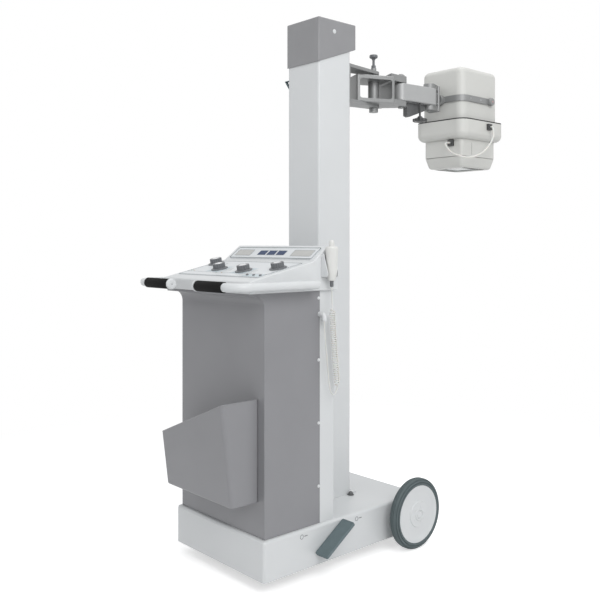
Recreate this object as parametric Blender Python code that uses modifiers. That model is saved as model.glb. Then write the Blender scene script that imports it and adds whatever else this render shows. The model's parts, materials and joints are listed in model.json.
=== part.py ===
# Mobile x-ray machine: wheeled base, control cabinet, column with a balanced carriage,
# folding arm, tube head with collimator, hand switch on a curly cord.
#
# Lengths are metres. +Z is up, the operator stands at the -Y side, the tube head hangs at the +Y side,
# and +X is the side with the brake pedal and the hand switch. Every place below is given in the
# machine's own frame: x from the middle plane, y from the base's front face, z from the floor.
# The empty "machine" then moves that frame so that the origin lies under the middle of the object.

import math

import bpy
import bmesh
from mathutils import Matrix, Vector

# Clearances
SEAT = 0.0003            # between pieces that touch
RUN = 0.0003             # radial, between a shaft and its bore
SHEET = 0.0025           # folded steel sheet of the covers

# Base
BASE_WIDTH = 0.487
BASE_LENGTH = 0.748
BASE_HEIGHT = 0.129
BASE_CLEARANCE = 0.040
BASE_WALL = 0.003
BASE_EDGE_RADIUS = 0.010

# Rear wheels on a dead axle
WHEEL_RADIUS = 0.125
WHEEL_Y = 0.660
WHEEL_TRACK = 0.592
TYRE_WIDTH = 0.038
RIM_RADIUS = 0.101
AXLE_RADIUS = 0.010
AXLE_END_GAP = 0.004
WHEEL_BOSS = 0.030
WHEEL_BOSS_RADIUS = 0.019

# Front casters
CASTER_WHEEL_RADIUS = 0.0375
CASTER_WHEEL_WIDTH = 0.025
CASTER_TRAIL = 0.028
CASTER_X = 0.155
CASTER_Y = 0.100
FORK_SIDE = 0.003
FORK_TOP = 0.098
KINGPIN_RADIUS = 0.006
KINGPIN_LENGTH = 0.012
CASTER_AXLE_RADIUS = 0.004
BEAM_WIDTH = 0.090
BEAM_HALF_LENGTH = 0.215
BEAM_WALL = 0.004

# Brake rocker pedal
PEDAL_Y = 0.283
PEDAL_Z = 0.117
PEDAL_LENGTH = 0.153
PEDAL_WIDTH = 0.056
PEDAL_THICKNESS = 0.009
PEDAL_TILT = math.radians(33)
PEDAL_SIDE_GAP = 0.002
PEDAL_RISE = 0.010
PEDAL_HUB_RADIUS = 0.013
PEDAL_SHAFT_RADIUS = 0.006
PEDAL_SHAFT_REACH = 0.060
BUSH_RADIUS = 0.011
BUSH_LENGTH = 0.030

# Cabinet covers
CABINET_INSET = 0.013
CABINET_SEAM_Y = 0.250
CABINET_REAR_Y = 0.322
CABINET_TOP = 0.9397
CABINET_CORNER_RADIUS = 0.012
FLARE_RADIUS = 0.036
FLARE_REACH = 0.061
FLARE_LIP = 0.008

# Power unit inside the cabinet
POWER_UNIT_SIZE = (0.300, 0.180, 0.230)
POWER_UNIT_Y = 0.150
CORE_DEPTH = 0.110

# Cassette bin on the cabinet's front
BIN_LEFT = -0.171
BIN_RIGHT = 0.199
BIN_BOTTOM = 0.279
BIN_TOP_RIGHT = 0.604
BIN_TOP_LEFT = 0.457
BIN_DEPTH_BOTTOM = 0.102
BIN_LEAN = 0.125
BIN_CORNER = 0.014
BIN_WALL = 0.003

# Console
CONSOLE_FRONT_Y = -0.056
CONSOLE_FRONT_TOP = 0.978
CONSOLE_BEND_Y = 0.208
CONSOLE_BEND_Z = 1.036
CONSOLE_CREST_Y = 0.277
CONSOLE_CREST_Z = 1.088
CONSOLE_CREST_WIDTH = 0.012
CONSOLE_BACK_Z = 1.058
CONSOLE_EDGE_RADIUS = 0.005
PANEL_THICKNESS = 0.0015
PANEL_SIDE_MARGIN = 0.0185
CONTROL_PANEL_START = 0.048
CONTROL_PANEL_END = 0.244
DISPLAY_PANEL_START = 0.011
DISPLAY_PANEL_END = 0.075
PANEL_CORNER_RADIUS = 0.006

# Selector knobs and push buttons on the control panel, as (x, distance up the slope)
KNOB_PLACES = ((-0.195, 0.198), (-0.085, 0.130), (0.065, 0.119), (0.190, 0.163))
KNOB_RADIUS = 0.0155
KNOB_SKIRT_RADIUS = 0.0215
KNOB_SKIRT_HEIGHT = 0.0035
KNOB_HEIGHT = 0.022
KNOB_WING = 0.011
KNOB_SHAFT_RADIUS = 0.003
KNOB_SHAFT_LENGTH = 0.012
BUTTON_PLACES = ((0.145, 0.070), (0.178, 0.070), (0.211, 0.070))
BUTTON_RADIUS = 0.0045
BUTTON_PROUD = 0.004
BUTTON_TRAVEL = 0.002
BUTTON_STEM = 0.006
BUTTON_CLEARANCE = 0.0004

# Handles at the console's two front corners
HANDLE_STANDOFF = 0.0365
HANDLE_Z = 0.963
HANDLE_RADIUS = 0.014
HANDLE_FRONT_Y = -0.133
HANDLE_REAR_Y = 0.200
HANDLE_BEND = 0.052
HANDLE_INNER_X = 0.077
HANDLE_BOSS_RADIUS = 0.009
HANDLE_BOSS_PLACES = (0.020, 0.165)
GRIP_RADIUS = 0.017
GRIP_LENGTH = 0.141
END_CAP_RADIUS = 0.018
END_CAP_LENGTH = 0.009
END_CAP_PLUG = 0.010

# Hand switch, its holder and its curly cord
HANDSET_STANDOFF = 0.0245
HANDSET_Y = 0.269
HANDSET_TOP = 1.087
HANDSET_TOP_RADIUS = 0.0215
HANDSET_SEAT_Z = 1.005
HANDSET_SEAT_RADIUS = 0.0180
HANDSET_FOOT_Z = 0.973
HANDSET_FOOT_RADIUS = 0.0115
RELIEF_RADIUS = 0.0065
RELIEF_LENGTH = 0.020
EXPOSURE_BUTTON_RADIUS = 0.0095
EXPOSURE_BUTTON_PROUD = 0.020
EXPOSURE_BUTTON_DEPTH = 0.010
EXPOSURE_TRAVEL = 0.004
HOLDER_WALL = 0.0035
HOLDER_HEIGHT = 0.043
HOLDER_REACH = 0.0410
HOLDER_MOUTH = 0.030
CURLY_CORD_RADIUS = 0.0065
CORD_BUSH_STANDOFF = 0.0233
CORD_BUSH_Y = 0.2485
CORD_BUSH_Z = 0.862
CORD_BUSH_RADIUS = 0.009
CORD_BUSH_DROP = 0.022

# Column and its cap
COLUMN_WIDTH = 0.167
COLUMN_DEPTH = 0.161
COLUMN_FRONT_Y = 0.384
COLUMN_WALL = 0.004
COLUMN_CORNER = 0.008
COLUMN_SLOT = 0.060
COLUMN_TOP = 1.868
COLUMN_FOOT = 0.028
COLUMN_FOOT_THICKNESS = 0.005
HOOK_WIDTH = 0.012
HOOK_DROP = 0.153
HOOK_HEIGHT = 0.036
HOOK_REACH = 0.013
HOOK_THICKNESS = 0.0025
CAP_RISE = 0.040
CAP_WALL = 0.003
CAP_FRONT_HEIGHT = 0.161
CAP_REAR_HEIGHT = 0.091
CAP_OVERHANG = 0.026
BRACKET_BOTTOM = 0.820
BRACKET_TOP = 0.920
BRACKET_WIDTH = 0.120

# Pulley and counterweight inside the column
PULLEY_RADIUS = 0.034
PULLEY_WIDTH = 0.016
PULLEY_PIN_RADIUS = 0.005
PULLEY_DROP = 0.016
PULLEY_CHEEK = 0.004
WEIGHT_DEPTH = 0.060
WEIGHT_STOP_GAP = 0.058
WEIGHT_FOOT_GAP = 0.0157
WEIGHT_CLEARANCE = 0.0003

# Carriage with the arm's bracket
LIFT_DOWN = -1.000
LIFT_UP = 0.020
CARRIAGE_HEIGHT = 0.145
CARRIAGE_DROP = 0.1645
SHOE_DEPTH = 0.050
SHOE_CLEARANCE = 0.0003
NECK_CLEARANCE = 0.002
CARRIAGE_PLATE_GAP = 0.003
CARRIAGE_PLATE = 0.030
CARRIAGE_PLATE_WIDTH = 0.110
LUG_THICKNESS = 0.012
LUG_WIDTH = 0.044
PIVOT_RADIUS = 0.011

# Arm
SHOULDER_REACH = 0.183
ARM_1_LENGTH = 0.120
ARM_1_HEADING = math.radians(23)
ARM_1_HEIGHT = 0.106
ARM_1_WIDTH = 0.132
ARM_1_TAIL = 0.100
ARM_1_NOSE = 0.064
ARM_1_WALL = 0.012
ARM_1_RAIL = 0.015
ARM_1_POST = 0.014
ARM_1_DROP = 0.059
HUB_RADIUS = 0.022
ELBOW_LUG_TOP = 0.1205
ELBOW_LUG_GAP = 0.003
ELBOW_LUG_WIDTH = 0.046
ARM_2_LENGTH = 0.164
ARM_2_HEADING = math.radians(4.5)
ARM_2_RISE = 0.0225
ARM_2_HEIGHT = 0.069
ARM_2_WIDTH = 0.058
ARM_2_END_RADIUS = 0.029
KEEL_WIDTH = 0.024
KEEL_DEPTH_INNER = 0.058
KEEL_DEPTH_OUTER = 0.026
KEEL_START = 0.030
KEEL_END = 0.130
WHEEL_KNOB_RADIUS = 0.030
WHEEL_KNOB_DROP = 0.0545
WHEEL_KNOB_HEIGHT = 0.022
WHEEL_KNOB_ALONG = 0.087
WHEEL_KNOB_ACROSS = 0.021
STEM_RADIUS = 0.004
T_KNOB_RADIUS = 0.0165
T_KNOB_RISE = 0.1855
T_KNOB_HEIGHT = 0.014

# Head bracket and band
WRIST_LUG = 0.019
WRIST_LUG_WIDTH = 0.048
BACK_PLATE_Y = 1.0835
BACK_PLATE = 0.012
BACK_PLATE_WIDTH = 0.056
BACK_PLATE_LEFT = 0.046
ROLL_RISE = 0.0555
ROLL_JOURNAL_RADIUS = 0.0115
BAND_HEIGHT = 0.025
BAND_THICKNESS = 0.007

# Tube head
HEAD_X = 0.054
HEAD_STANDOFF = 0.026
HEAD_WIDTH = 0.218
HEAD_LENGTH = 0.256
HEAD_HEIGHT = 0.2175
HEAD_DROP = 0.0855
HEAD_CORNER = 0.034
HEAD_CROWN = 0.024
TRAY_FLANGE = 0.021
TRAY_HEIGHT = 0.078
TRAY_CORNER = 0.042
TRAY_KEEL = 0.028
SOCKET_SIZE = 0.026
SOCKET_DEPTH = 0.012
TRAY_SOCKET_BACK = 0.0255
TRAY_SOCKET_DROP = 0.0224
COLLIMATOR_SOCKET_SIDE = 0.046
COLLIMATOR_SOCKET_DROP = 0.0151
GASKET = 0.0035
BAND_KNOB_BACK = 0.0585
BAND_KNOB_RADIUS = 0.0175
COLLIMATOR_WIDTH = 0.198
COLLIMATOR_LENGTH = 0.236
COLLIMATOR_HEIGHT = 0.117
COLLIMATOR_CORNER = 0.014
COLLIMATOR_TAPER = 0.012
COLLIMATOR_SEAM = 0.045
COLLIMATOR_GROOVE = 0.0015
WINDOW_SIZE = (0.110, 0.130)
WINDOW_DEPTH = 0.006
WINDOW_PLATE = 0.003
FIELD_KNOB_RADIUS = 0.014
FIELD_KNOB_HEIGHT = 0.018
FIELD_KNOB_SPACING = 0.090
HEAD_CORD_RADIUS = 0.004

# Values that follow from the ones above
BASE_TOP = BASE_CLEARANCE + BASE_HEIGHT
BASE_SIDE = BASE_WIDTH / 2
CABINET_SIDE = BASE_SIDE - CABINET_INSET
CABINET_BOTTOM = BASE_TOP + SEAT
CONSOLE_BOTTOM = CABINET_TOP + SEAT
WHEEL_X = WHEEL_TRACK / 2
COLUMN_REAR_Y = COLUMN_FRONT_Y + COLUMN_DEPTH
COLUMN_BOTTOM = BASE_TOP + SEAT
HANDLE_X = BASE_SIDE + HANDLE_STANDOFF
HANDSET_X = BASE_SIDE + HANDSET_STANDOFF
CORD_BUSH_X = CABINET_SIDE + CORD_BUSH_STANDOFF
HOOK_TOP = COLUMN_TOP - HOOK_DROP
CAP_TOP = COLUMN_TOP + CAP_RISE
CAP_FRONT_BOTTOM = CAP_TOP - CAP_FRONT_HEIGHT
CAP_REAR_BOTTOM = CAP_TOP - CAP_REAR_HEIGHT
PULLEY_Z = COLUMN_TOP - PULLEY_DROP
CARRIAGE_MIDDLE_Z = COLUMN_TOP - CARRIAGE_DROP
SHOULDER_Y = COLUMN_REAR_Y + CARRIAGE_PLATE_GAP + CARRIAGE_PLATE + SHOULDER_REACH
ARM_1_BOTTOM_Z = CARRIAGE_MIDDLE_Z - ARM_1_DROP
WHEEL_KNOB_Z = ARM_1_BOTTOM_Z - WHEEL_KNOB_DROP
T_KNOB_Z = ARM_1_BOTTOM_Z + T_KNOB_RISE
ROLL_Z = ARM_1_BOTTOM_Z + ROLL_RISE
WEIGHT_TOP_AT_REST = PULLEY_Z - PULLEY_RADIUS - WEIGHT_STOP_GAP + LIFT_DOWN
WEIGHT_HEIGHT = WEIGHT_TOP_AT_REST - (COLUMN_BOTTOM + LIFT_UP + WEIGHT_FOOT_GAP)
CONTROL_SLOPE = math.atan2(CONSOLE_BEND_Z - CONSOLE_FRONT_TOP, CONSOLE_BEND_Y - CONSOLE_FRONT_Y)
DISPLAY_SLOPE = math.atan2(CONSOLE_CREST_Z - CONSOLE_BEND_Z, CONSOLE_CREST_Y - CONSOLE_BEND_Y)
SHOULDER = Vector((0, SHOULDER_Y, ARM_1_BOTTOM_Z))
ARM_1_ALONG = Vector((math.sin(ARM_1_HEADING), math.cos(ARM_1_HEADING), 0))
ARM_2_ALONG = Vector((math.sin(ARM_2_HEADING), math.cos(ARM_2_HEADING), 0))
ELBOW = SHOULDER + ARM_1_ALONG * ARM_1_LENGTH
WRIST = ELBOW + ARM_2_ALONG * ARM_2_LENGTH
ARM_2_BOTTOM_Z = ARM_1_BOTTOM_Z + ARM_2_RISE
ARM_2_TOP_Z = ARM_2_BOTTOM_Z + ARM_2_HEIGHT
HEAD_FRONT_Y = BACK_PLATE_Y + BACK_PLATE + HEAD_STANDOFF
HEAD_BOTTOM = ROLL_Z - HEAD_DROP
HEAD_TOP = HEAD_BOTTOM + HEAD_HEIGHT
HEAD_MIDDLE = Vector((HEAD_X, HEAD_FRONT_Y + HEAD_LENGTH / 2, 0))
BAND_KNOB_Y = HEAD_MIDDLE.y + BAND_KNOB_BACK
TRAY_TOP = HEAD_BOTTOM - SEAT - GASKET - SEAT
TRAY_BOTTOM = TRAY_TOP - TRAY_HEIGHT
COLLIMATOR_TOP = TRAY_BOTTOM - SEAT
TRAY_SOCKET = (HEAD_MIDDLE.y + TRAY_SOCKET_BACK, TRAY_TOP - TRAY_SOCKET_DROP)
COLLIMATOR_SOCKET = (HEAD_X + COLLIMATOR_SOCKET_SIDE, COLLIMATOR_TOP - COLLIMATOR_SOCKET_DROP)
MACHINE_REAR_Y = HEAD_FRONT_Y + HEAD_LENGTH + TRAY_FLANGE
MACHINE_FRONT_Y = HANDLE_FRONT_Y - END_CAP_RADIUS
MACHINE_ORIGIN = Vector((0, -(MACHINE_FRONT_Y + MACHINE_REAR_Y) / 2, 0))

# Colours, as linear red, green, blue, with roughness and metallic
FINISHES = {
    "white_paint": ((0.72, 0.74, 0.76), 0.45, 0.0),
    "grey_paint": ((0.24, 0.245, 0.25), 0.5, 0.0),
    "head_paint": ((0.60, 0.60, 0.58), 0.42, 0.0),
    "arm_metal": ((0.38, 0.39, 0.39), 0.45, 0.6),
    "dark_metal": ((0.12, 0.12, 0.125), 0.5, 0.5),
    "steel": ((0.55, 0.55, 0.56), 0.3, 1.0),
    "tyre_rubber": ((0.085, 0.115, 0.12), 0.75, 0.0),
    "pedal_green": ((0.115, 0.155, 0.17), 0.6, 0.0),
    "black_foam": ((0.006, 0.006, 0.006), 0.85, 0.0),
    "knob_grey": ((0.18, 0.19, 0.195), 0.5, 0.0),
    "cream_plastic": ((0.62, 0.62, 0.57), 0.5, 0.0),
    "cast_iron": ((0.06, 0.06, 0.065), 0.7, 0.4),
    "glass": ((0.03, 0.035, 0.04), 0.08, 0.0),
    "panel_film": ((0.62, 0.65, 0.66), 0.4, 0.0),
}


def collection(name):
    """A collection that hangs under the scene's own."""
    found = bpy.data.collections.new(name)
    bpy.context.scene.collection.children.link(found)
    return found


def material(name):
    """One Principled material for each finish, made once."""
    made = bpy.data.materials.get(name)
    if made:
        return made
    colour, roughness, metallic = FINISHES[name]
    made = bpy.data.materials.new(name)
    made.use_nodes = True
    shader = made.node_tree.nodes["Principled BSDF"]
    shader.inputs["Base Color"].default_value = (*colour, 1)
    shader.inputs["Roughness"].default_value = roughness
    shader.inputs["Metallic"].default_value = metallic
    made.diffuse_color = (*colour, 1)
    return made


for old in list(bpy.data.objects):
    bpy.data.objects.remove(old, do_unlink=True)

PARTS = collection("mobile_xray_machine")
CUTTERS = collection("cutters")
JOINTS = {}


def joint(name, place, parent=None):
    """An empty on a moving body's axis. The body's pieces hang from it."""
    empty = bpy.data.objects.new(name, None)
    PARTS.objects.link(empty)
    place = Vector(place)
    if parent:
        empty.parent = JOINTS[parent][0]
        empty.location = place - JOINTS[parent][1]
    else:
        empty.location = place
    JOINTS[name] = (empty, place)
    return empty


def hang(piece, name, place=(0, 0, 0)):
    """Puts a piece at a place in the machine's frame, and hangs it from a joint's empty."""
    empty, at = JOINTS[name]
    piece.parent = empty
    piece.location = Vector(place) - at
    return piece


def link(name, mesh, finish=None, group=None):
    piece = bpy.data.objects.new(name, mesh)
    (group or PARTS).objects.link(piece)
    if finish:
        mesh.materials.clear()
        mesh.materials.append(material(finish))
    return piece


def hide_tool(piece):
    """A cutter shows as a wire and never as part of the object."""
    piece.hide_render = True
    piece.display_type = "WIRE"
    return piece


def box(name, low, high, finish=None, group=None):
    """A box between two corners."""
    low, high = Vector(low), Vector(high)
    shape = bmesh.new()
    bmesh.ops.create_cube(shape, size=1)
    middle = Matrix.Translation((low + high) / 2)
    bmesh.ops.transform(shape, matrix=middle @ Matrix.Diagonal((*(high - low), 1)), verts=shape.verts)
    mesh = bpy.data.meshes.new(name)
    shape.to_mesh(mesh)
    shape.free()
    return link(name, mesh, finish, group)


TURNS = {
    "X": Matrix.Rotation(math.radians(90), 4, "Y"),
    "Y": Matrix.Rotation(math.radians(-90), 4, "X"),
    "Z": Matrix.Identity(4),
}


def rod(name, start, length, radius, axis="Z", sides=24, finish=None, group=None, end_radius=None):
    """A round bar from a point along +X, +Y or +Z, or a cone where its end radius differs."""
    shape = bmesh.new()
    end = radius if end_radius is None else end_radius
    bmesh.ops.create_cone(shape, cap_ends=True, segments=sides, radius1=radius, radius2=end, depth=length)
    lift = Matrix.Translation((0, 0, length / 2))
    bmesh.ops.transform(shape, matrix=Matrix.Translation(start) @ TURNS[axis] @ lift, verts=shape.verts)
    mesh = bpy.data.meshes.new(name)
    shape.to_mesh(mesh)
    shape.free()
    return smooth(link(name, mesh, finish, group))


def smooth(piece, angle=30):
    piece.data.shade_smooth()
    piece.data.set_sharp_from_angle(angle=math.radians(angle))
    return piece


def arc(middle, radius, start, end, steps=5):
    """Points on an arc, angles in degrees."""
    points = []
    for i in range(steps + 1):
        angle = math.radians(start + (end - start) * i / steps)
        points.append((middle[0] + radius * math.cos(angle), middle[1] + radius * math.sin(angle)))
    return points


def rounded(corners, steps=3):
    """A closed outline from (x, y, radius) corners, with each corner as an arc."""
    points = []
    for i, (x, y, radius) in enumerate(corners):
        here = Vector((x, y))
        back = (Vector(corners[i - 1][:2]) - here).normalized()
        ahead = (Vector(corners[(i + 1) % len(corners)][:2]) - here).normalized()
        if radius <= 0:
            points.append((x, y))
            continue
        half = back.angle(ahead) / 2
        reach = radius / math.tan(half)
        middle = here + (back + ahead).normalized() * (radius / math.sin(half))
        first = here + back * reach - middle
        last = here + ahead * reach - middle
        sweep = first.angle_signed(last)
        for k in range(steps + 1):
            turned = first.copy()
            turned.rotate(Matrix.Rotation(-sweep * k / steps, 2))
            points.append(tuple(middle + turned))
    return points


def rectangle(x0, y0, x1, y1, radius=0, steps=3):
    return rounded([(x0, y0, radius), (x1, y0, radius), (x1, y1, radius), (x0, y1, radius)], steps)


PLANES = {
    "XY": Matrix.Identity(4),
    "YZ": Matrix(((0, 0, 1, 0), (1, 0, 0, 0), (0, 1, 0, 0), (0, 0, 0, 1))),
    "XZ": Matrix(((1, 0, 0, 0), (0, 0, -1, 0), (0, 1, 0, 0), (0, 0, 0, 1))),
}


def prism(name, outlines, low, high, plane="XY", finish=None, group=None):
    """A filled 2D curve made solid. It runs from low to high along the axis across its plane."""
    curve = bpy.data.curves.new(name, "CURVE")
    curve.dimensions = "2D"
    curve.fill_mode = "BOTH"
    curve.extrude = (high - low) / 2
    for outline in outlines:
        spline = curve.splines.new("POLY")
        spline.points.add(len(outline) - 1)
        for point, (x, y) in zip(spline.points, outline):
            point.co = (x, y, 0, 1)
        spline.use_cyclic_u = True
    drawn = link(name + "_outline", curve)
    bpy.context.view_layer.update()
    evaluated = drawn.evaluated_get(bpy.context.evaluated_depsgraph_get())
    mesh = bpy.data.meshes.new_from_object(evaluated)
    bpy.data.objects.remove(drawn)
    bpy.data.curves.remove(curve)
    shape = bmesh.new()
    shape.from_mesh(mesh)
    bmesh.ops.remove_doubles(shape, verts=shape.verts, dist=0.00001)
    bmesh.ops.dissolve_limit(shape, angle_limit=0.001, verts=shape.verts, edges=shape.edges)
    side = -1 if plane == "XZ" else 1
    middle = side * (low + high) / 2
    bmesh.ops.transform(shape, matrix=PLANES[plane] @ Matrix.Translation((0, 0, middle)), verts=shape.verts)
    bmesh.ops.recalc_face_normals(shape, faces=shape.faces)
    shape.to_mesh(mesh)
    shape.free()
    mesh.name = name
    return smooth(link(name, mesh, finish, group))


def tube(name, points, radius, finish=None, sides=3, group=None):
    """A round bar along a line of points, as a closed mesh."""
    curve = bpy.data.curves.new(name, "CURVE")
    curve.dimensions = "3D"
    curve.bevel_depth = radius
    curve.bevel_resolution = sides
    curve.use_fill_caps = True
    spline = curve.splines.new("POLY")
    spline.points.add(len(points) - 1)
    for point, place in zip(spline.points, points):
        point.co = (*place, 1)
    drawn = link(name + "_line", curve)
    bpy.context.view_layer.update()
    evaluated = drawn.evaluated_get(bpy.context.evaluated_depsgraph_get())
    mesh = bpy.data.meshes.new_from_object(evaluated)
    bpy.data.objects.remove(drawn)
    bpy.data.curves.remove(curve)
    shape = bmesh.new()
    shape.from_mesh(mesh)
    bmesh.ops.remove_doubles(shape, verts=shape.verts, dist=0.00001)
    bmesh.ops.recalc_face_normals(shape, faces=shape.faces)
    shape.to_mesh(mesh)
    shape.free()
    mesh.name = name
    return smooth(link(name, mesh, finish, group), 50)


def turned(name, profile, axis="Z", steps=36, ring=False, finish=None, group=None):
    """A profile of (radius, height) points, outer side top to bottom, turned about an axis."""
    mesh = bpy.data.meshes.new(name)
    verts = [(radius, 0, height) for radius, height in profile]
    edges = [(i, i + 1) for i in range(len(verts) - 1)]
    if ring:
        edges.append((len(verts) - 1, 0))
    mesh.from_pydata(verts, edges, [])
    drawn = link(name + "_profile", mesh)
    screw = drawn.modifiers.new("Turn", "SCREW")
    screw.steps = steps
    screw.render_steps = steps
    screw.use_merge_vertices = True
    screw.merge_threshold = 0.0001
    bpy.context.view_layer.update()
    evaluated = drawn.evaluated_get(bpy.context.evaluated_depsgraph_get())
    solid = bpy.data.meshes.new_from_object(evaluated)
    bpy.data.objects.remove(drawn)
    bpy.data.meshes.remove(mesh)
    shape = bmesh.new()
    shape.from_mesh(solid)
    bmesh.ops.remove_doubles(shape, verts=shape.verts, dist=0.00001)
    bmesh.ops.transform(shape, matrix=TURNS[axis], verts=shape.verts)
    bmesh.ops.recalc_face_normals(shape, faces=shape.faces)
    shape.to_mesh(solid)
    shape.free()
    solid.name = name
    return smooth(link(name, solid, finish, group))


def change(piece, *others, how):
    """Cuts others from a piece, or joins them to it, with exact booleans applied in turn."""
    for other in others:
        step = piece.modifiers.new(how.title(), "BOOLEAN")
        step.object = other
        step.operation = how
        step.solver = "EXACT"
    bpy.context.view_layer.update()
    evaluated = piece.evaluated_get(bpy.context.evaluated_depsgraph_get())
    mesh = bpy.data.meshes.new_from_object(evaluated)
    old = piece.data
    piece.modifiers.clear()
    piece.data = mesh
    mesh.name = piece.name
    if old.users == 0:
        bpy.data.meshes.remove(old)
    for other in others:
        bpy.data.objects.remove(other)
    return piece


def cut(piece, *tools):
    for tool in tools:
        hide_tool(tool)
    return change(piece, *tools, how="DIFFERENCE")


def join(piece, *others):
    return change(piece, *others, how="UNION")


def bevel(piece, width, segments=2, angle=50):
    """Rounded edges, limited to the sharp ones."""
    step = piece.modifiers.new("Edges", "BEVEL")
    step.width = width
    step.segments = segments
    step.limit_method = "ANGLE"
    step.angle_limit = math.radians(angle)
    return piece


def round_edges(piece, width, segments, wanted):
    """Rounds only the edges whose two ends pass the test."""
    mesh = piece.data
    shape = bmesh.new()
    shape.from_mesh(mesh)
    weights = shape.edges.layers.float.new("bevel_weight_edge")
    for edge in shape.edges:
        edge[weights] = 1.0 if all(wanted(vert.co) for vert in edge.verts) else 0.0
    shape.to_mesh(mesh)
    shape.free()
    step = piece.modifiers.new("Rounding", "BEVEL")
    step.width = width
    step.segments = segments
    step.limit_method = "WEIGHT"
    return settle(piece)


def settle(piece):
    """Applies the modifiers, so that later cuts see the finished surface."""
    return change(piece, how="UNION")


def turn_mesh(piece, angle, axis="Z", about=(0, 0, 0)):
    """Turns the shape itself about a point."""
    about = Vector(about)
    turn = Matrix.Translation(about) @ Matrix.Rotation(angle, 4, axis) @ Matrix.Translation(-about)
    piece.data.transform(turn)
    return piece


def open_shell(piece, thickness, faces_to_open):
    """Opens a closed solid where the test says so, and gives the rest a wall towards the inside."""
    shape = bmesh.new()
    shape.from_mesh(piece.data)
    shape.normal_update()
    opened = [face for face in shape.faces if faces_to_open(face.normal, face.calc_center_median())]
    bmesh.ops.delete(shape, geom=opened, context="FACES")
    shape.to_mesh(piece.data)
    shape.free()
    wall = piece.modifiers.new("Sheet", "SOLIDIFY")
    wall.thickness = thickness
    wall.offset = -1
    wall.use_even_offset = True
    return piece


def base_shell():
    """Folded sheet box, open below, with bushes for the pedal's shaft and holes for the axle."""
    low = (-BASE_SIDE, 0, BASE_CLEARANCE)
    high = (BASE_SIDE, BASE_LENGTH, BASE_TOP)
    shell = box("base_shell", low, high, "white_paint")
    open_shell(shell, BASE_WALL, lambda normal, middle: normal.z < -0.9)
    bevel(shell, BASE_EDGE_RADIUS, 3)
    shell.modifiers.move(1, 0)
    settle(shell)
    bush_start = BASE_SIDE - BASE_WALL / 2 - BUSH_LENGTH
    bush = rod("bush", (bush_start, PEDAL_Y, PEDAL_Z), BUSH_LENGTH, BUSH_RADIUS, "X")
    join(shell, bush)
    axle_hole = rod("axle_hole", (-BASE_WIDTH, WHEEL_Y, WHEEL_RADIUS), BASE_WIDTH * 2, AXLE_RADIUS + RUN, "X",
                    group=CUTTERS)
    reach = BUSH_LENGTH * 2
    pedal_hole = rod("pedal_hole", (BASE_SIDE - reach, PEDAL_Y, PEDAL_Z), reach * 2,
                     PEDAL_SHAFT_RADIUS + RUN, "X", group=CUTTERS)
    cut(shell, axle_hole, pedal_hole)
    hang(smooth(shell), "machine")


def cross_beam():
    """Box beam under the deck that carries the casters."""
    top = BASE_TOP - BASE_WALL - SEAT
    y0 = CASTER_Y - BEAM_WIDTH / 2
    y1 = CASTER_Y + BEAM_WIDTH / 2
    outer = rectangle(y0, FORK_TOP + SEAT, y1, top, 0.004, 2)
    inner = rectangle(y0 + BEAM_WALL, FORK_TOP + SEAT + BEAM_WALL, y1 - BEAM_WALL, top - BEAM_WALL)
    beam = prism("cross_beam", [outer, inner], -BEAM_HALF_LENGTH, BEAM_HALF_LENGTH, "YZ", "dark_metal")
    for side in (-1, 1):
        hole = rod("kingpin_hole", (side * CASTER_X, CASTER_Y, FORK_TOP - KINGPIN_LENGTH),
                   KINGPIN_LENGTH * 2, KINGPIN_RADIUS + RUN, sides=20, group=CUTTERS)
        cut(beam, hole)
    hang(beam, "machine")


def rear_axle():
    half = WHEEL_X + TYRE_WIDTH / 2 - AXLE_END_GAP
    axle = rod("rear_axle", (-half, WHEEL_Y, WHEEL_RADIUS), half * 2, AXLE_RADIUS, "X", finish="steel")
    hang(axle, "machine")


def rear_wheels():
    """White disc hub with a blind bore, and a ribbed tyre seated on its rim."""
    half = TYRE_WIDTH / 2
    seat = RIM_RADIUS - 0.004
    bore = AXLE_RADIUS + RUN
    boss = half + WHEEL_BOSS
    hub = [(0, half + 0.004), (0.016, half + 0.004), (0.024, half), (0.042, half - 0.002), (0.048, half - 0.004),
           (0.092, half - 0.003), (RIM_RADIUS, half - 0.002), (seat, half - 0.006), (seat, -half + 0.006),
           (RIM_RADIUS, -half + 0.002), (0.090, -half + 0.003), (0.086, 0), (0.028, 0), (WHEEL_BOSS_RADIUS, -half),
           (WHEEL_BOSS_RADIUS, -boss), (bore, -boss), (bore, half - 0.003), (0, half - 0.003)]
    inner = seat + SEAT
    shoulder = half - 0.006 - SEAT
    tyre = [(RIM_RADIUS + 0.0005, half - 0.002), (0.108, half), (0.113, half - 0.003), (0.118, half - 0.003),
            (WHEEL_RADIUS, 0.006), (WHEEL_RADIUS, -0.006), (0.118, -half + 0.003),
            (0.108, -half), (RIM_RADIUS + 0.0005, -half + 0.002), (inner, -shoulder), (inner, shoulder)]
    for side, word in ((-1, "left"), (1, "right")):
        place = (side * WHEEL_X, WHEEL_Y, WHEEL_RADIUS)
        joint("wheel_" + word, place, "machine")
        for name, profile, ring, finish in (("wheel_hub_", hub, False, "white_paint"),
                                            ("tyre_", tyre, True, "tyre_rubber")):
            piece = turned(name + word, profile, "X", 32, ring, finish)
            if side < 0:
                turn_mesh(piece, math.pi)
            hang(piece, "wheel_" + word, place)


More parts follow.
